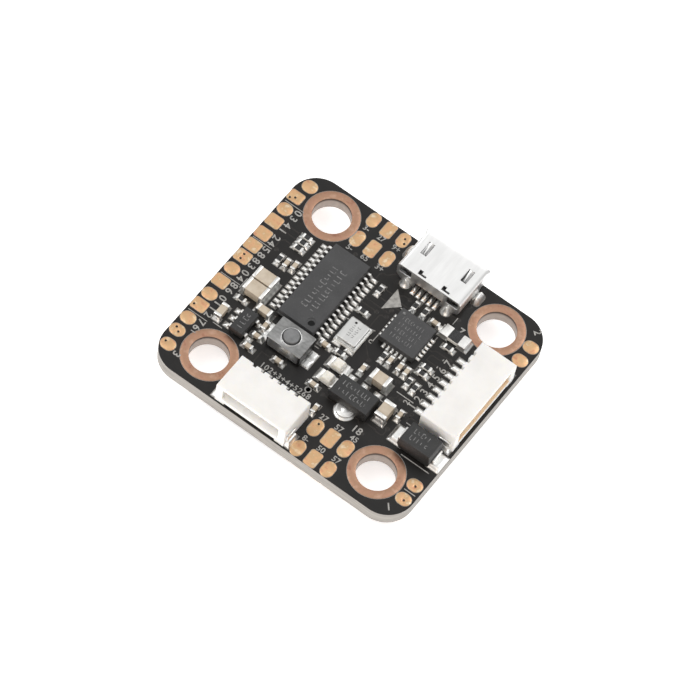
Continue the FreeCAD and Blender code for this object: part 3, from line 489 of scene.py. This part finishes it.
# CAD nodes kept as they are, with softened edges
finishes = {    # node: material, edge radius in mm (0 leaves the edges alone)
    "circuit_board": (glassEpoxyLaminate, 0), "solder_mask_top": (blackSolderMask, 0),
    "solder_mask_underside": (blackSolderMask, 0), "hole_platings": (bareCopper, 0.02),
    "left_edge_pads": (goldFlash, 0.02), "rear_edge_pads": (goldFlash, 0.02),
    "front_edge_pads": (goldFlash, 0.02), "right_edge_pads": (goldFlash, 0.02),
    "underside_pads": (goldFlash, 0.02), "usb_contacts": (goldFlash, 0.02),
    "usb_shell": (nickelPlatedShell, 0.03), "usb_insulator": (blackPolyester, 0.03),
    "front_connector_housing": (whiteNylon, 0.05), "right_connector_housing": (mouthNylon, 0.05),
    "front_connector_contacts": (tinPlate, 0.02), "right_connector_contacts": (tinPlate, 0.02),
    "front_connector_tabs": (tinPlate, 0.04), "right_connector_tabs": (tinPlate, 0.04),
    "osd_chip_body": (greyMouldCompound, 0.05), "osd_chip_leads": (tinPlate, 0.02),
    "gyro_chip_body": (greyMouldCompound, 0.04), "gyro_chip_lands": (tinPlate, 0.015),
    "small_regulator_body": (blackMouldCompound, 0.04), "small_regulator_leads": (tinPlate, 0.03),
    "power_regulator_body": (blackMouldCompound, 0.06), "power_regulator_leads": (tinPlate, 0.05),
    "power_diode_body": (blackMouldCompound, 0.08), "power_diode_leads": (tinPlate, 0.05),
    "main_processor_body": (greyMouldCompound, 0.06), "main_processor_leads": (tinPlate, 0.02),
    "flash_chip_body": (greyMouldCompound, 0.04), "flash_chip_lands": (tinPlate, 0.015),
    "barometer_base": (whiteCeramic, 0.02), "barometer_die": (bareSilicon, 0.01),
    "barometer_lid": (nickelPlatedSteel, 0), "barometer_terminals": (tinPlate, 0.02),
    "crystal_tray": (whiteCeramic, 0.03), "crystal_lid": (nickelPlatedSteel, 0.04),
    "button_base": (blackPolyester, 0.03), "button_cover": (stainlessSteel, 0.07),
    "button_plunger": (greyNylon, 0), "button_terminals": (tinPlate, 0.03),
    "bulk_capacitor_bodies": (beigeCeramic, 0.06), "bulk_capacitor_terminals": (tinPlate, 0.08),
    "filter_capacitor_bodies": (beigeCeramic, 0.06), "filter_capacitor_terminals": (tinPlate, 0.08),
    "small_capacitor_bodies": (beigeCeramic, 0.03), "small_capacitor_terminals": (tinPlate, 0.05),
    "resistor_bodies": (whiteCeramic, 0.02), "resistor_glazes": (blackGlaze, 0.015),
    "resistor_terminals": (tinPlate, 0.04), "fuse_body": (whiteCeramic, 0.03),
    "fuse_terminals": (tinPlate, 0.05), "fuse_window": (blackGlaze, 0.015),
    "led_bases": (whiteCeramic, 0.03), "led_lenses": (clearEpoxy, 0.1), "led_terminals": (tinPlate, 0.04),
}


softening = {"merge": 0.0005, "segments": 2, "angle": 35, "flatFirst": 80}    # mm, degrees


def softenEdges(thing, radius):
    weld = thing.modifiers.new("weld", "WELD")
    weld.merge_threshold = softening["merge"] * mm
    bevel = thing.modifiers.new("edges", "BEVEL")
    bevel.width = radius * mm
    bevel.segments = softening["segments"]
    bevel.limit_method = "ANGLE"
    bevel.angle_limit = math.radians(softening["angle"])
    normals = thing.modifiers.new("normals", "WEIGHTED_NORMAL")
    normals.mode = "FACE_AREA"
    normals.weight = softening["flatFirst"]
    normals.keep_sharp = False


for nodeName, (material, radius) in finishes.items():
    thing = nodes[nodeName]
    if not thing.material_slots:
        thing.data.materials.append(material)
    for materialSlot in thing.material_slots:
        materialSlot.link = "OBJECT"
        materialSlot.material = material
    if radius:
        softenEdges(thing, radius)
print("CAD nodes finished:", len(finishes))


# helpers that several pieces share
def addPiece(name, mesh, material, replaced=(), body="board", smooth=True):
    data = bpy.data.meshes.new(name)
    bmesh.ops.recalc_face_normals(mesh, faces=mesh.faces)
    mesh.to_mesh(data)
    mesh.free()
    data.materials.append(material)
    for face in data.polygons:
        face.use_smooth = smooth
    thing = bpy.data.objects.new(name, data)
    scene.collection.objects.link(thing)
    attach(thing, body)
    if replaced:
        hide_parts(*replaced)
    return thing


def looseParts(nodeName):    # each separate solid of a node, as a small mesh
    whole = bmesh.new()
    whole.from_mesh(nodes[nodeName].data)
    bmesh.ops.remove_doubles(whole, verts=whole.verts, dist=0.0002 * mm)
    parts, seen = [], set()
    for seed in whole.verts:
        if seed in seen:
            continue
        group, waiting = [], [seed]
        seen.add(seed)
        while waiting:
            vertex = waiting.pop()
            group.append(vertex)
            for edge in vertex.link_edges:
                other = edge.other_vert(vertex)
                if other not in seen:
                    seen.add(other)
                    waiting.append(other)
        faces = {face for vertex in group for face in vertex.link_faces}
        parts.append({
            "low": Vector([min(vertex.co[axis] for vertex in group) for axis in range(3)]),
            "high": Vector([max(vertex.co[axis] for vertex in group) for axis in range(3)]),
            "faces": [[vertex.co.copy() for vertex in face.verts] for face in faces],
            "normals": [face.normal.copy() for face in faces],
        })
    whole.free()
    return parts


def closeDown(mesh, drop):    # turns an open sheet into a closed slab, its far side moved up by drop
    rim = [edge for edge in mesh.edges if edge.is_boundary]
    walls = bmesh.ops.extrude_edge_only(mesh, edges=rim)["geom"]
    for item in walls:
        if isinstance(item, bmesh.types.BMVert):
            item.co.z += drop
    opened = [item for item in walls if isinstance(item, bmesh.types.BMEdge) and item.is_boundary]
    bmesh.ops.holes_fill(mesh, edges=opened)


# a meniscus of solder on every land, climbing the metal that stands in it
solder = {
    "cell": 0.09,          # mm between the mesh's lines
    "rimWidth": 0.22,      # how far in the rounded rim reaches
    "crown": 0.06,         # height of a bare wetted land
    "beads": {             # wide lands whose solder draws into a round bead: its height in mm
        "power_regulator_leads": 0.25, "usb_shell": 0.4,
    },
    "beadSide": 0.8,       # a land narrower than this keeps its plain rim
    "reach": 0.32,         # how far the climb spreads from the metal
    "slab": 0.03,          # thickness left below the wetted face
    "near": 0.1,           # metal this close to a land stands on it
    "rise": {              # climb in mm at each kind of metal
        "osd_chip_leads": 0.1, "small_regulator_leads": 0.14, "power_regulator_leads": 0.22,
        "power_diode_leads": 0.4, "gyro_chip_lands": 0.1, "barometer_terminals": 0.12,
        "led_terminals": 0.2, "bulk_capacitor_terminals": 0.75, "filter_capacitor_terminals": 0.75,
        "small_capacitor_terminals": 0.34, "resistor_terminals": 0.24, "fuse_terminals": 0.35,
        "usb_contacts": 0.09, "button_terminals": 0.12, "front_connector_contacts": 0.16,
        "right_connector_contacts": 0.16, "front_connector_tabs": 0.6, "right_connector_tabs": 0.6,
        "usb_shell": 0.5, "main_processor_leads": 0.09, "flash_chip_lands": 0.12, "crystal_tray": 0.15,
    },
}


def standingMetal(facing):
    level = boardTop if facing > 0 else boardUnder
    found = []
    for nodeName, rise in solder["rise"].items():
        for part in looseParts(nodeName):
            foot = part["low"].z if facing > 0 else part["high"].z
            if abs(foot - level) < solder["near"] * mm:
                found.append((part["low"], part["high"], rise * mm, nodeName))
    return found


def wettedSheet(land, level, facing):    # the land's flat face, as an open mesh
    sheet = bmesh.new()
    corners = {}
    for corner, normal in zip(land["faces"], land["normals"]):
        if normal.z * facing < 0.9:
            continue
        keys = [(round(point.x * 1e7), round(point.y * 1e7)) for point in corner]
        if len(set(keys)) < 3:
            continue
        for key, point in zip(keys, corner):
            if key not in corners:
                corners[key] = sheet.verts.new((point.x, point.y, level))
        sheet.faces.new([corners[key] for key in dict.fromkeys(keys)])
    bmesh.ops.dissolve_limit(sheet, angle_limit=0.02, verts=sheet.verts, edges=sheet.edges)
    return sheet


def distanceToRim(point, rim):
    best = 1.0
    for start, end in rim:
        along = end - start
        share = max(0, min(1, (point - start).dot(along) / max(along.length_squared, 1e-18)))
        best = min(best, (point - start - along * share).length)
    return best


def solderOnLands(name, landNode, facing):
    metal, reach = standingMetal(facing), solder["near"] * mm
    whole = bmesh.new()
    for land in looseParts(landNode):
        level = land["high"].z if facing > 0 else land["low"].z
        near = [
            item for item in metal
            if item[0].x < land["high"].x + reach and item[1].x > land["low"].x - reach
            and item[0].y < land["high"].y + reach and item[1].y > land["low"].y - reach
        ]
        size = land["high"] - land["low"]
        beads = [solder["beads"][item[3]] for item in near if item[3] in solder["beads"]]
        isBead = bool(beads) and min(size.x, size.y) > solder["beadSide"] * mm
        sheet = wettedSheet(land, level, facing)
        crown = beads[0] if isBead else solder["crown"]
        rimWidth = min(size.x, size.y) / 2 if isBead else solder["rimWidth"] * mm
        rim = [
            (Vector(edge.verts[0].co.xy), Vector(edge.verts[1].co.xy))
            for edge in sheet.edges if edge.is_boundary
        ]
        for axis in (0, 1):
            normal = Vector((1, 0, 0)) if axis == 0 else Vector((0, 1, 0))
            span = land["high"][axis] - land["low"][axis]
            steps = max(2, round(span / (solder["cell"] * mm)))
            for step in range(1, steps):
                cut = Vector((0, 0, level))
                cut[axis] = land["low"][axis] + span * step / steps
                geometry = list(sheet.verts) + list(sheet.edges) + list(sheet.faces)
                bmesh.ops.bisect_plane(sheet, geom=geometry, plane_co=cut, plane_no=normal, dist=1e-8)
        for vertex in sheet.verts:
            share = min(1, distanceToRim(vertex.co.xy, rim) / rimWidth)
            rounded = share * (2 - share)
            climb = 0
            for low, high, rise, _ in near:
                aside = Vector((
                    max(low.x - vertex.co.x, 0, vertex.co.x - high.x),
                    max(low.y - vertex.co.y, 0, vertex.co.y - high.y),
                )).length
                closeness = max(0, 1 - aside / (solder["reach"] * mm))
                climb = max(climb, rise * closeness ** 2)
            vertex.co.z += facing * (crown * mm * rounded + climb * share)
        closeDown(sheet, -facing * solder["slab"] * mm)
        spare = bpy.data.meshes.new("spare")
        sheet.to_mesh(spare)
        sheet.free()
        whole.from_mesh(spare)
        bpy.data.meshes.remove(spare)
    addPiece(name, whole, tinSolder, replaced=(landNode,))


solderOnLands("solder_joints_top", "component_lands_top", 1)
solderOnLands("solder_joints_underside", "component_lands_underside", -1)
print("solder laid")


# flat shapes laid on the board: strips, turned rings and figures
def strip(mesh, points, width, z, thickness, slope=0.0):    # a flat bar, with sloping sides, along a bent line
    halfWidth = width / 2
    sides = []
    for index, point in enumerate(points):
        ahead = (points[min(index + 1, len(points) - 1)] - point)
        behind = (point - points[max(index - 1, 0)])
        if ahead.length < 1e-9:
            ahead = behind
        if behind.length < 1e-9:
            behind = ahead
        direction = (ahead.normalized() + behind.normalized()).normalized()
        stretch = 1 / max(0.5, direction.dot(ahead.normalized()))
        sides.append(Vector((-direction.y, direction.x)) * halfWidth * stretch)
    rings = []
    for index, (point, side) in enumerate(zip(points, sides)):
        top = side * (1 - slope / halfWidth)
        end = Vector((0, 0))
        if index in (0, len(points) - 1) and slope:
            end = Vector((side.y, -side.x)).normalized() * slope * (1 if index == 0 else -1)
        rings.append([
            mesh.verts.new((*(point - side), z)), mesh.verts.new((*(point + side), z)),
            mesh.verts.new((*(point + top + end), z + thickness)),
            mesh.verts.new((*(point - top + end), z + thickness)),
        ])
    for before, after in zip(rings, rings[1:]):
        for corner in range(4):
            following = (corner + 1) % 4
            mesh.faces.new((before[corner], before[following], after[following], after[corner]))
    mesh.faces.new(rings[0][::-1])
    mesh.faces.new(rings[-1])


def lathe(mesh, centre, profile, segments=20):    # profile: radius and height in mm, outside to middle
    rings = []
    for radius, height in profile:
        z = centre[2] + height * mm
        if radius == 0:
            rings.append([mesh.verts.new((centre[0], centre[1], z))])
            continue
        turn = [math.tau * step / segments for step in range(segments)]
        reach = radius * mm
        rings.append([
            mesh.verts.new((centre[0] + reach * math.cos(a), centre[1] + reach * math.sin(a), z)) for a in turn
        ])
    for outer, inner in zip(rings, rings[1:]):
        for step in range(segments):
            following = (step + 1) % segments
            if len(inner) == 1:
                mesh.faces.new((outer[step], outer[following], inner[0]))
            elif len(outer) == 1:
                mesh.faces.new((outer[0], inner[following], inner[step]))
            else:
                mesh.faces.new((outer[step], outer[following], inner[following], inner[step]))
    if len(rings[0]) > 1:
        mesh.faces.new(rings[0][::-1])


def outlineRing(mesh, centre, radius, width, z, thickness, segments=28):    # a thin flat ring
    lathe(mesh, (centre[0], centre[1], z), [
        (radius - width / 2, 0), (radius + width / 2, 0), (radius + width / 2, thickness),
        (radius - width / 2, thickness), (radius - width / 2, 0),
    ], segments)


def figure(mesh, text, x, y, z, size, turn, thickness):    # a printed digit or sign, turned in degrees
    curve = bpy.data.curves.new("figure", "FONT")
    curve.body = text
    curve.size = size
    curve.align_x = "CENTER"
    curve.align_y = "CENTER"
    curve.extrude = thickness / 2
    curve.offset = size * 0.014    # the screen prints a little bold
    curve.resolution_u = 3
    thing = bpy.data.objects.new("figure", curve)
    scene.collection.objects.link(thing)
    data = bpy.data.meshes.new_from_object(thing)
    angle = math.radians(turn)
    for vertex in data.vertices:
        px, py, pz = vertex.co
        vertex.co = (
            x + px * math.cos(angle) - py * math.sin(angle),
            y + px * math.sin(angle) + py * math.cos(angle),
            z + pz + thickness / 2,
        )
    mesh.from_mesh(data)
    bpy.data.meshes.remove(data)
    bpy.data.objects.remove(thing)
    bpy.data.curves.remove(curve)


ink = {
    "thickness": 0.02, "lineWidth": 0.09, "padLine": 0.07, "figureSize": 1.12, "smallFigure": 0.86,
    "arrowTip": (1.3, 6.1), "arrowHalf": 1.4, "arrowDepth": 1.45,    # mm from the hole pattern's middle
    "padGap": 0.48, "pairStep": 0.4, "lineGap": 0.13, "lineReach": (0.2, 0.9),    # beside the left edge's pads
    "blockGap": 0.36, "pinGap": 0.62, "signGap": 0.7, "frontGap": 0.6, "frontSteps": (-0.22, 0.28),
    "rings": [    # the part whose low corner each is placed from, its place, radius and line width
        ("osd_chip_body", (-1.1, -0.2), 0.22, 0.1), (None, (-0.35, -7.0), 0.3, 0.12),
        ("gyro_chip_body", (-0.5, -0.6), 0.16, 0.1),
    ],
    "keepClear": [
        "left_edge_pads", "rear_edge_pads", "front_edge_pads", "right_edge_pads", "component_lands_top",
        "hole_platings", "osd_chip_body", "gyro_chip_body", "power_regulator_body", "power_diode_body",
        "small_regulator_body", "front_connector_housing", "right_connector_housing", "usb_shell",
        "button_cover", "barometer_base",
    ],
    "lines": [    # outlines round the parts
        ((-6.9, -2.75), (-2.2, -2.75)), ((-2.05, 1.7), (0.9, 2.3)), ((6.3, 7.7), (6.3, 8.6)),
        ((1.3, 5.95), (2.6, 5.95)), ((6.0, 5.6), (6.0, 4.6)), ((1.35, 0.9), (1.35, 2.2)),
        ((2.2, -3.5), (8.4, -3.5)), ((6.4, -1.75), (8.4, -1.75)), ((9.1, -3.9), (10.1, -3.9)),
        ((-11.9, -6.9), (-10.8, -6.9)), ((10.7, -6.98), (14.0, -6.98)), ((-8.35, 6.6), (-8.35, 3.4)),
        ((-13.0, -8.95), (-12.45, -8.95)), ((13.1, -9.78), (14.4, -9.78)), ((-12.2, -0.9), (-12.2, -2.2)),
    ],
    "extras": [    # text, place, turn
        ("4", (-12.75, 12.2), 40), ("2", (13.25, 12.25), -40),
        ("1", (13.1, -12.3), 40), ("3", (-12.65, -12.35), -50),
        ("1001", (-1.2, -4.4), 90), ("7", (7.4, 7.55), 0),
        ("1", (1.15, 3.0), 90),
        ("6", (12.9, 8.0), 0), ("5", (7.9, -6.0), 0), ("18", (5.9, -7.6), 0), ("0", (8.35, -8.0), 90),
    ],
}


def takenPlaces():    # where print can't go: each part's box, and whether it is a ring
    return [
        (part["low"], part["high"], nodeName == "hole_platings")
        for nodeName in ink["keepClear"] for part in looseParts(nodeName)
    ]


def isBare(taken, x, y, halfWide, halfTall):
    for low, high, isRing in taken:
        if isRing:
            middle = (low + high) / 2
            if math.hypot(x - middle.x, y - middle.y) < (high.x - low.x) / 2 + min(halfWide, halfTall):
                return False
        elif abs(x - (low.x + high.x) / 2) < halfWide + (high.x - low.x) / 2:
            if abs(y - (low.y + high.y) / 2) < halfTall + (high.y - low.y) / 2:
                return False
    return True


def label(mesh, taken, text, x, y, size, turn=0):    # prints only where the board is bare
    halfWide, halfTall = size * 0.3 * len(text) * mm, size * 0.34 * mm
    if turn % 180 > 45:
        halfWide, halfTall = halfTall, halfWide
    if isBare(taken, x, y, halfWide, halfTall):
        figure(mesh, text, x, y, boardTop, size * mm, turn, ink["thickness"] * mm)


def forwardArrow(mesh):
    tip = Vector(ink["arrowTip"]) * mm
    back, half = ink["arrowDepth"] * mm, ink["arrowHalf"] * mm
    corners = [tip, tip + Vector((-back, half)), tip + Vector((-back, -half))]
    low = [mesh.verts.new((*corner, boardTop)) for corner in corners]
    high = [mesh.verts.new((*corner, boardTop + ink["thickness"] * mm)) for corner in corners]
    mesh.faces.new(low[::-1])
    mesh.faces.new(high)
    for index in range(3):
        following = (index + 1) % 3
        mesh.faces.new((low[index], low[following], high[following], high[index]))


def inkMarks():
    dice = random.Random(4)
    mesh = bmesh.new()
    thickness = ink["thickness"] * mm
    taken = takenPlaces()
    forwardArrow(mesh)
    pads = sorted(looseParts("left_edge_pads"), key=lambda part: part["low"].y)
    for index, part in enumerate(pads):    # two figures beside each pad, and a fine line between groups
        middle = (part["low"] + part["high"]) / 2
        x = part["high"].x + ink["padGap"] * mm
        for step in (-ink["pairStep"], ink["pairStep"]):
            text = dice.choice("0123456789+-")
            label(mesh, taken, text, x, middle.y + step * mm, ink["figureSize"], -90)
        if index % 3 == 2:
            y = part["high"].y + ink["lineGap"] * mm
            inward, outward = ink["lineReach"]
            points = [Vector((part["low"].x + inward * mm, y)), Vector((part["high"].x + outward * mm, y))]
            strip(mesh, points, ink["padLine"] * mm, boardTop, thickness)
    for nodeName, drop in (("rear_edge_pads", -ink["blockGap"]), ("front_edge_pads", ink["blockGap"])):
        for part in looseParts(nodeName):    # a small pair at each pad of the two blocks
            middle = (part["low"] + part["high"]) / 2
            y = (part["low"].y if drop < 0 else part["high"].y) + drop * mm
            text = dice.choice("123456789") + dice.choice("0+-57")
            label(mesh, taken, text, middle.x, y, ink["smallFigure"])
    for number, part in enumerate(looseParts("right_connector_contacts")):
        x, y = part["low"].x - ink["pinGap"] * mm, (part["low"].y + part["high"].y) / 2
        label(mesh, taken, str(number + 1), x, y, ink["figureSize"], 90)
        label(mesh, taken, dice.choice("+-023"), x - ink["signGap"] * mm, y, ink["smallFigure"], 90)
    for number, part in enumerate(looseParts("front_connector_contacts")):
        x, y = (part["low"].x + part["high"].x) / 2, part["high"].y + ink["frontGap"] * mm
        before, after = ink["frontSteps"]
        label(mesh, taken, str(number + 1), x + before * mm, y, ink["smallFigure"])
        label(mesh, taken, dice.choice("+-0258"), x + after * mm, y, ink["smallFigure"])
    for text, (x, y), turn in ink["extras"]:
        label(mesh, taken, text, x * mm, y * mm, ink["figureSize"], turn)
    for nodeName, (x, y), radius, width in ink["rings"]:
        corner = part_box(nodeName)[0] if nodeName else Vector((0, 0, 0))
        outlineRing(mesh, (corner.x + x * mm, corner.y + y * mm), radius, width, boardTop, ink["thickness"])
    for start, end in ink["lines"]:
        strip(mesh, [Vector(start) * mm, Vector(end) * mm], ink["lineWidth"] * mm, boardTop, thickness)
    addPiece("screened_marks", mesh, whiteInk, smooth=False)


inkMarks()
print("ink printed")


marks = {    # node: face, rows, their spacing, mark height and row length in mm, and whether rows run along Y
    "osd_chip_body": (1, 2, 0.95, 0.62, 5.6, True),
    "gyro_chip_body": (1, 4, 0.72, 0.42, 2.6, False),
    "power_regulator_body": (1, 2, 0.85, 0.5, 3.0, False),
    "power_diode_body": (1, 2, 0.8, 0.5, 2.0, False),
    "small_regulator_body": (1, 1, 0.7, 0.55, 1.7, True),
    "barometer_lid": (1, 2, 0.5, 0.3, 1.3, True),
    "main_processor_body": (-1, 4, 1.3, 0.75, 6.2, False),
    "flash_chip_body": (-1, 2, 0.95, 0.55, 3.6, False),
}
tick = {    # one mark: its parts as shares of the row's height, the chances of a foot and a head
    "short": 0.55, "width": 0.42, "stroke": 0.16, "step": (0.72, 0.95), "foot": 0.45, "head": 0.75,
    "thickness": 0.005, "sink": 0.001,    # mm
}


def packageMarks():
    dice = random.Random(11)
    mesh = bmesh.new()
    for nodeName, (facing, rows, pitch, height, length, alongY) in marks.items():
        low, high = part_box(nodeName)
        middle = (low + high) / 2
        level = (high.z if facing > 0 else low.z) - tick["sink"] * mm
        for row in range(rows):
            across = (row - (rows - 1) / 2) * pitch * mm
            run = -length / 2 * mm
            while run < length / 2 * mm:
                tall = height * mm * dice.choice((1.0, 1.0, tick["short"]))
                kind = dice.random()
                wide = height * mm * tick["width"]
                strokes = [((0, -tall / 2), (0, tall / 2))]    # an upright tick
                if kind > tick["foot"]:
                    strokes.append(((0, -tall / 2), (wide, -tall / 2)))    # with a foot
                if kind > tick["head"]:
                    strokes.append(((0, tall / 2), (wide, tall / 2)))      # and a head
                for start, end in strokes:
                    ends = []
                    for u, v in (start, end):
                        if alongY:
                            ends.append(Vector((middle.x + across - v, middle.y + run + u)))
                        else:
                            ends.append(Vector((middle.x + run + u, middle.y - across + v)))
                    strip(mesh, ends, height * mm * tick["stroke"], level, tick["thickness"] * mm)
                run += height * mm * dice.uniform(*tick["step"])
    sensorLow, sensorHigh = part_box("gyro_chip_body")
    dot = (sensorLow.x + 0.45 * mm, sensorHigh.y - 0.45 * mm, sensorHigh.z - 0.001 * mm)
    lathe(mesh, dot, [(0.17, 0), (0.17, 0.005), (0, 0.005)])
    chipLow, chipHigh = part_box("osd_chip_body")
    seam = (chipLow.z + chipHigh.z) / 2    # line where the mould's halves met
    for y in (chipLow.y + 0.01 * mm, chipHigh.y - 0.01 * mm):
        ends = [Vector((chipLow.x + 0.15 * mm, y)), Vector((chipHigh.x - 0.15 * mm, y))]
        strip(mesh, ends, 0.05 * mm, seam, 0.06 * mm)
    addPiece("package_marks", mesh, laserMark, smooth=False)


packageMarks()

indexDot = {    # mm; each chip's dimple radius, positive side up
    "depth": 0.02, "inset": 0.85,
    "chips": (("osd_chip_body", 1, 0.34), ("main_processor_body", -1, 0.5), ("flash_chip_body", -1, 0.3)),
}


def indexDots():    # the polished floor of each moulded dimple
    mesh = bmesh.new()
    for nodeName, side, radius in indexDot["chips"]:
        low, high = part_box(nodeName)
        inset = indexDot["inset"] * mm
        z = high.z - indexDot["depth"] * mm if side > 0 else low.z + indexDot["depth"] * mm
        x = high.x - inset if side > 0 else low.x + inset
        lathe(mesh, (x, low.y + inset, z), [
            (radius, 0), (radius, 0.015 * side), (radius * 0.8, 0.008 * side), (0, 0.004 * side),
        ])
    addPiece("index_dots", mesh, polishedCompound)


indexDots()
print("packages marked")


# copper tracks under the mask
tracks = {
    "cell": 0.15, "width": 0.16, "height": 0.018, "slope": 0.02,    # mm
    "edgeGap": 0.45, "landGap": 0.12, "ringGap": 0.2, "start": 0.36, "sink": 0.01,
    "viaRadius": 0.24, "viaHeight": 0.014,
    "gap": 2, "longest": 34, "shortest": 5,    # in cells
    "bend": 0.13, "skip": 0.25,                # chances
}


def boardGrid(facing):    # cells of the board that tracks may cross
    cell = tracks["cell"] * mm
    low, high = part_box("circuit_board")
    columns, rows = int((high.x - low.x) / cell), int((high.y - low.y) / cell)
    free = [[True] * rows for _ in range(columns)]

    def span(start, end, margin, first, count):    # the cells from start to end, with a margin
        after = int((end + margin - first) / cell) + 1
        return range(max(0, int((start - margin - first) / cell)), min(count, after))

    def block(x0, y0, x1, y1, margin):
        for i in span(x0, x1, margin, low.x, columns):
            for j in span(y0, y1, margin, low.y, rows):
                free[i][j] = False

    edge = tracks["edgeGap"] * mm
    block(low.x, low.y, low.x + edge, high.y, 0)
    block(high.x - edge, low.y, high.x, high.y, 0)
    block(low.x, low.y, high.x, low.y + edge, 0)
    block(low.x, high.y - edge, high.x, high.y, 0)
    topPads = ["left_edge_pads", "rear_edge_pads", "front_edge_pads", "right_edge_pads"]
    obstacles = topPads if facing > 0 else ["underside_pads"]
    obstacles.append("component_lands_top" if facing > 0 else "component_lands_underside")
    for nodeName in obstacles:
        for part in looseParts(nodeName):
            block(part["low"].x, part["low"].y, part["high"].x, part["high"].y, tracks["landGap"] * mm)
    for part in looseParts("hole_platings"):
        block(part["low"].x, part["low"].y, part["high"].x, part["high"].y, tracks["ringGap"] * mm)
    return free, low, cell


def layTracks(name, landNode, facing, seed):
    dice = random.Random(seed)
    free, low, cell = boardGrid(facing)
    columns, rows = len(free), len(free[0])
    mesh = bmesh.new()
    sink = tracks["sink"]
    level = boardTop - sink * mm if facing > 0 else boardUnder - (tracks["height"] - sink) * mm
    compass = [(1, 0), (1, 1), (0, 1), (-1, 1), (-1, 0), (-1, -1), (0, -1), (1, -1)]

    def isOpen(i, j, room):
        for a in range(i - room, i + room + 1):
            for b in range(j - room, j + room + 1):
                if not (0 <= a < columns and 0 <= b < rows) or not free[a][b]:
                    return False
        return True

    starts = []
    for part in looseParts(landNode):
        middle = (part["low"] + part["high"]) / 2
        half = (part["high"] - part["low"]) / 2
        for heading in (0, 2, 4, 6):
            dx, dy = compass[heading]
            x = middle.x + dx * (half.x + tracks["start"] * mm)
            y = middle.y + dy * (half.y + tracks["start"] * mm)
            starts.append((x, y, heading, middle.x + dx * half.x, middle.y + dy * half.y))
    dice.shuffle(starts)
    count = 0
    for x, y, heading, fromX, fromY in starts:
        i, j = int((x - low.x) / cell), int((y - low.y) / cell)
        if not isOpen(i, j, 1) or dice.random() < tracks["skip"]:
            continue
        path = [(i, j)]
        while len(path) < tracks["longest"]:
            if len(path) > 3 and dice.random() < tracks["bend"]:
                heading = (heading + dice.choice((-1, 1))) % 8
            di, dj = compass[heading]
            ni, nj = path[-1][0] + di, path[-1][1] + dj
            if not isOpen(ni, nj, tracks["gap"]):
                a, b = path[-1]
                turned = [(heading + turn) % 8 for turn in (1, -1)]
                choices = [t for t in turned if isOpen(a + compass[t][0], b + compass[t][1], tracks["gap"])]
                if not choices:
                    break
                heading = choices[0]
                di, dj = compass[heading]
                ni, nj = path[-1][0] + di, path[-1][1] + dj
            path.append((ni, nj))
        if len(path) < tracks["shortest"]:
            continue
        points = [Vector((fromX, fromY))]
        for index, (a, b) in enumerate(path):
            last = index == len(path) - 1
            if index and not last:
                before, after = path[index - 1], path[index + 1]
                if (a - before[0], b - before[1]) == (after[0] - a, after[1] - b):
                    continue    # the track runs straight on here
            points.append(Vector((low.x + (a + 0.5) * cell, low.y + (b + 0.5) * cell)))
        strip(mesh, points, tracks["width"] * mm, level, tracks["height"] * mm, tracks["slope"] * mm)
        radius, rise = tracks["viaRadius"], tracks["viaHeight"] * facing
        z = boardTop if facing > 0 else boardUnder
        lathe(mesh, (*points[-1], z), [
            (radius, 0), (radius * 0.85, rise), (radius * 0.45, rise), (radius * 0.3, rise * 0.3), (0, rise * 0.2),
        ], 14)
        for a, b in path:
            free[a][b] = False
        count += 1
    addPiece(name, mesh, maskedCopper, smooth=False)
    print(name, "has", count, "tracks")


layTracks("masked_tracks_top", "component_lands_top", 1, 5)
layTracks("masked_tracks_underside", "component_lands_underside", -1, 8)


# the button's snap dome
snapDome = {"sheet": 0.06, "steps": 8, "segments": 40, "pressed": 0.25}    # sheet in mm; share of its height left


def addSnapDome():
    low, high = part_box("button_dome")
    radius, rise = (high.x - low.x) / 2 / mm, (high.z - low.z) / mm
    centre = ((low.x + high.x) / 2, (low.y + high.y) / 2, low.z)
    steps, sheet = snapDome["steps"], snapDome["sheet"]
    shares = [step / steps for step in range(steps + 1)]
    inner = [((radius - sheet) * share, (rise - sheet) * (1 - share ** 2)) for share in shares]
    outer = [(radius * share, rise * (1 - share ** 2)) for share in reversed(shares)]
    mesh = bmesh.new()
    lathe(mesh, centre, inner + outer, snapDome["segments"])
    piece = addPiece("snap_dome", mesh, stainlessSteel, replaced=("button_dome",))
    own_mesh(piece)


addSnapDome()
print("snap dome made")
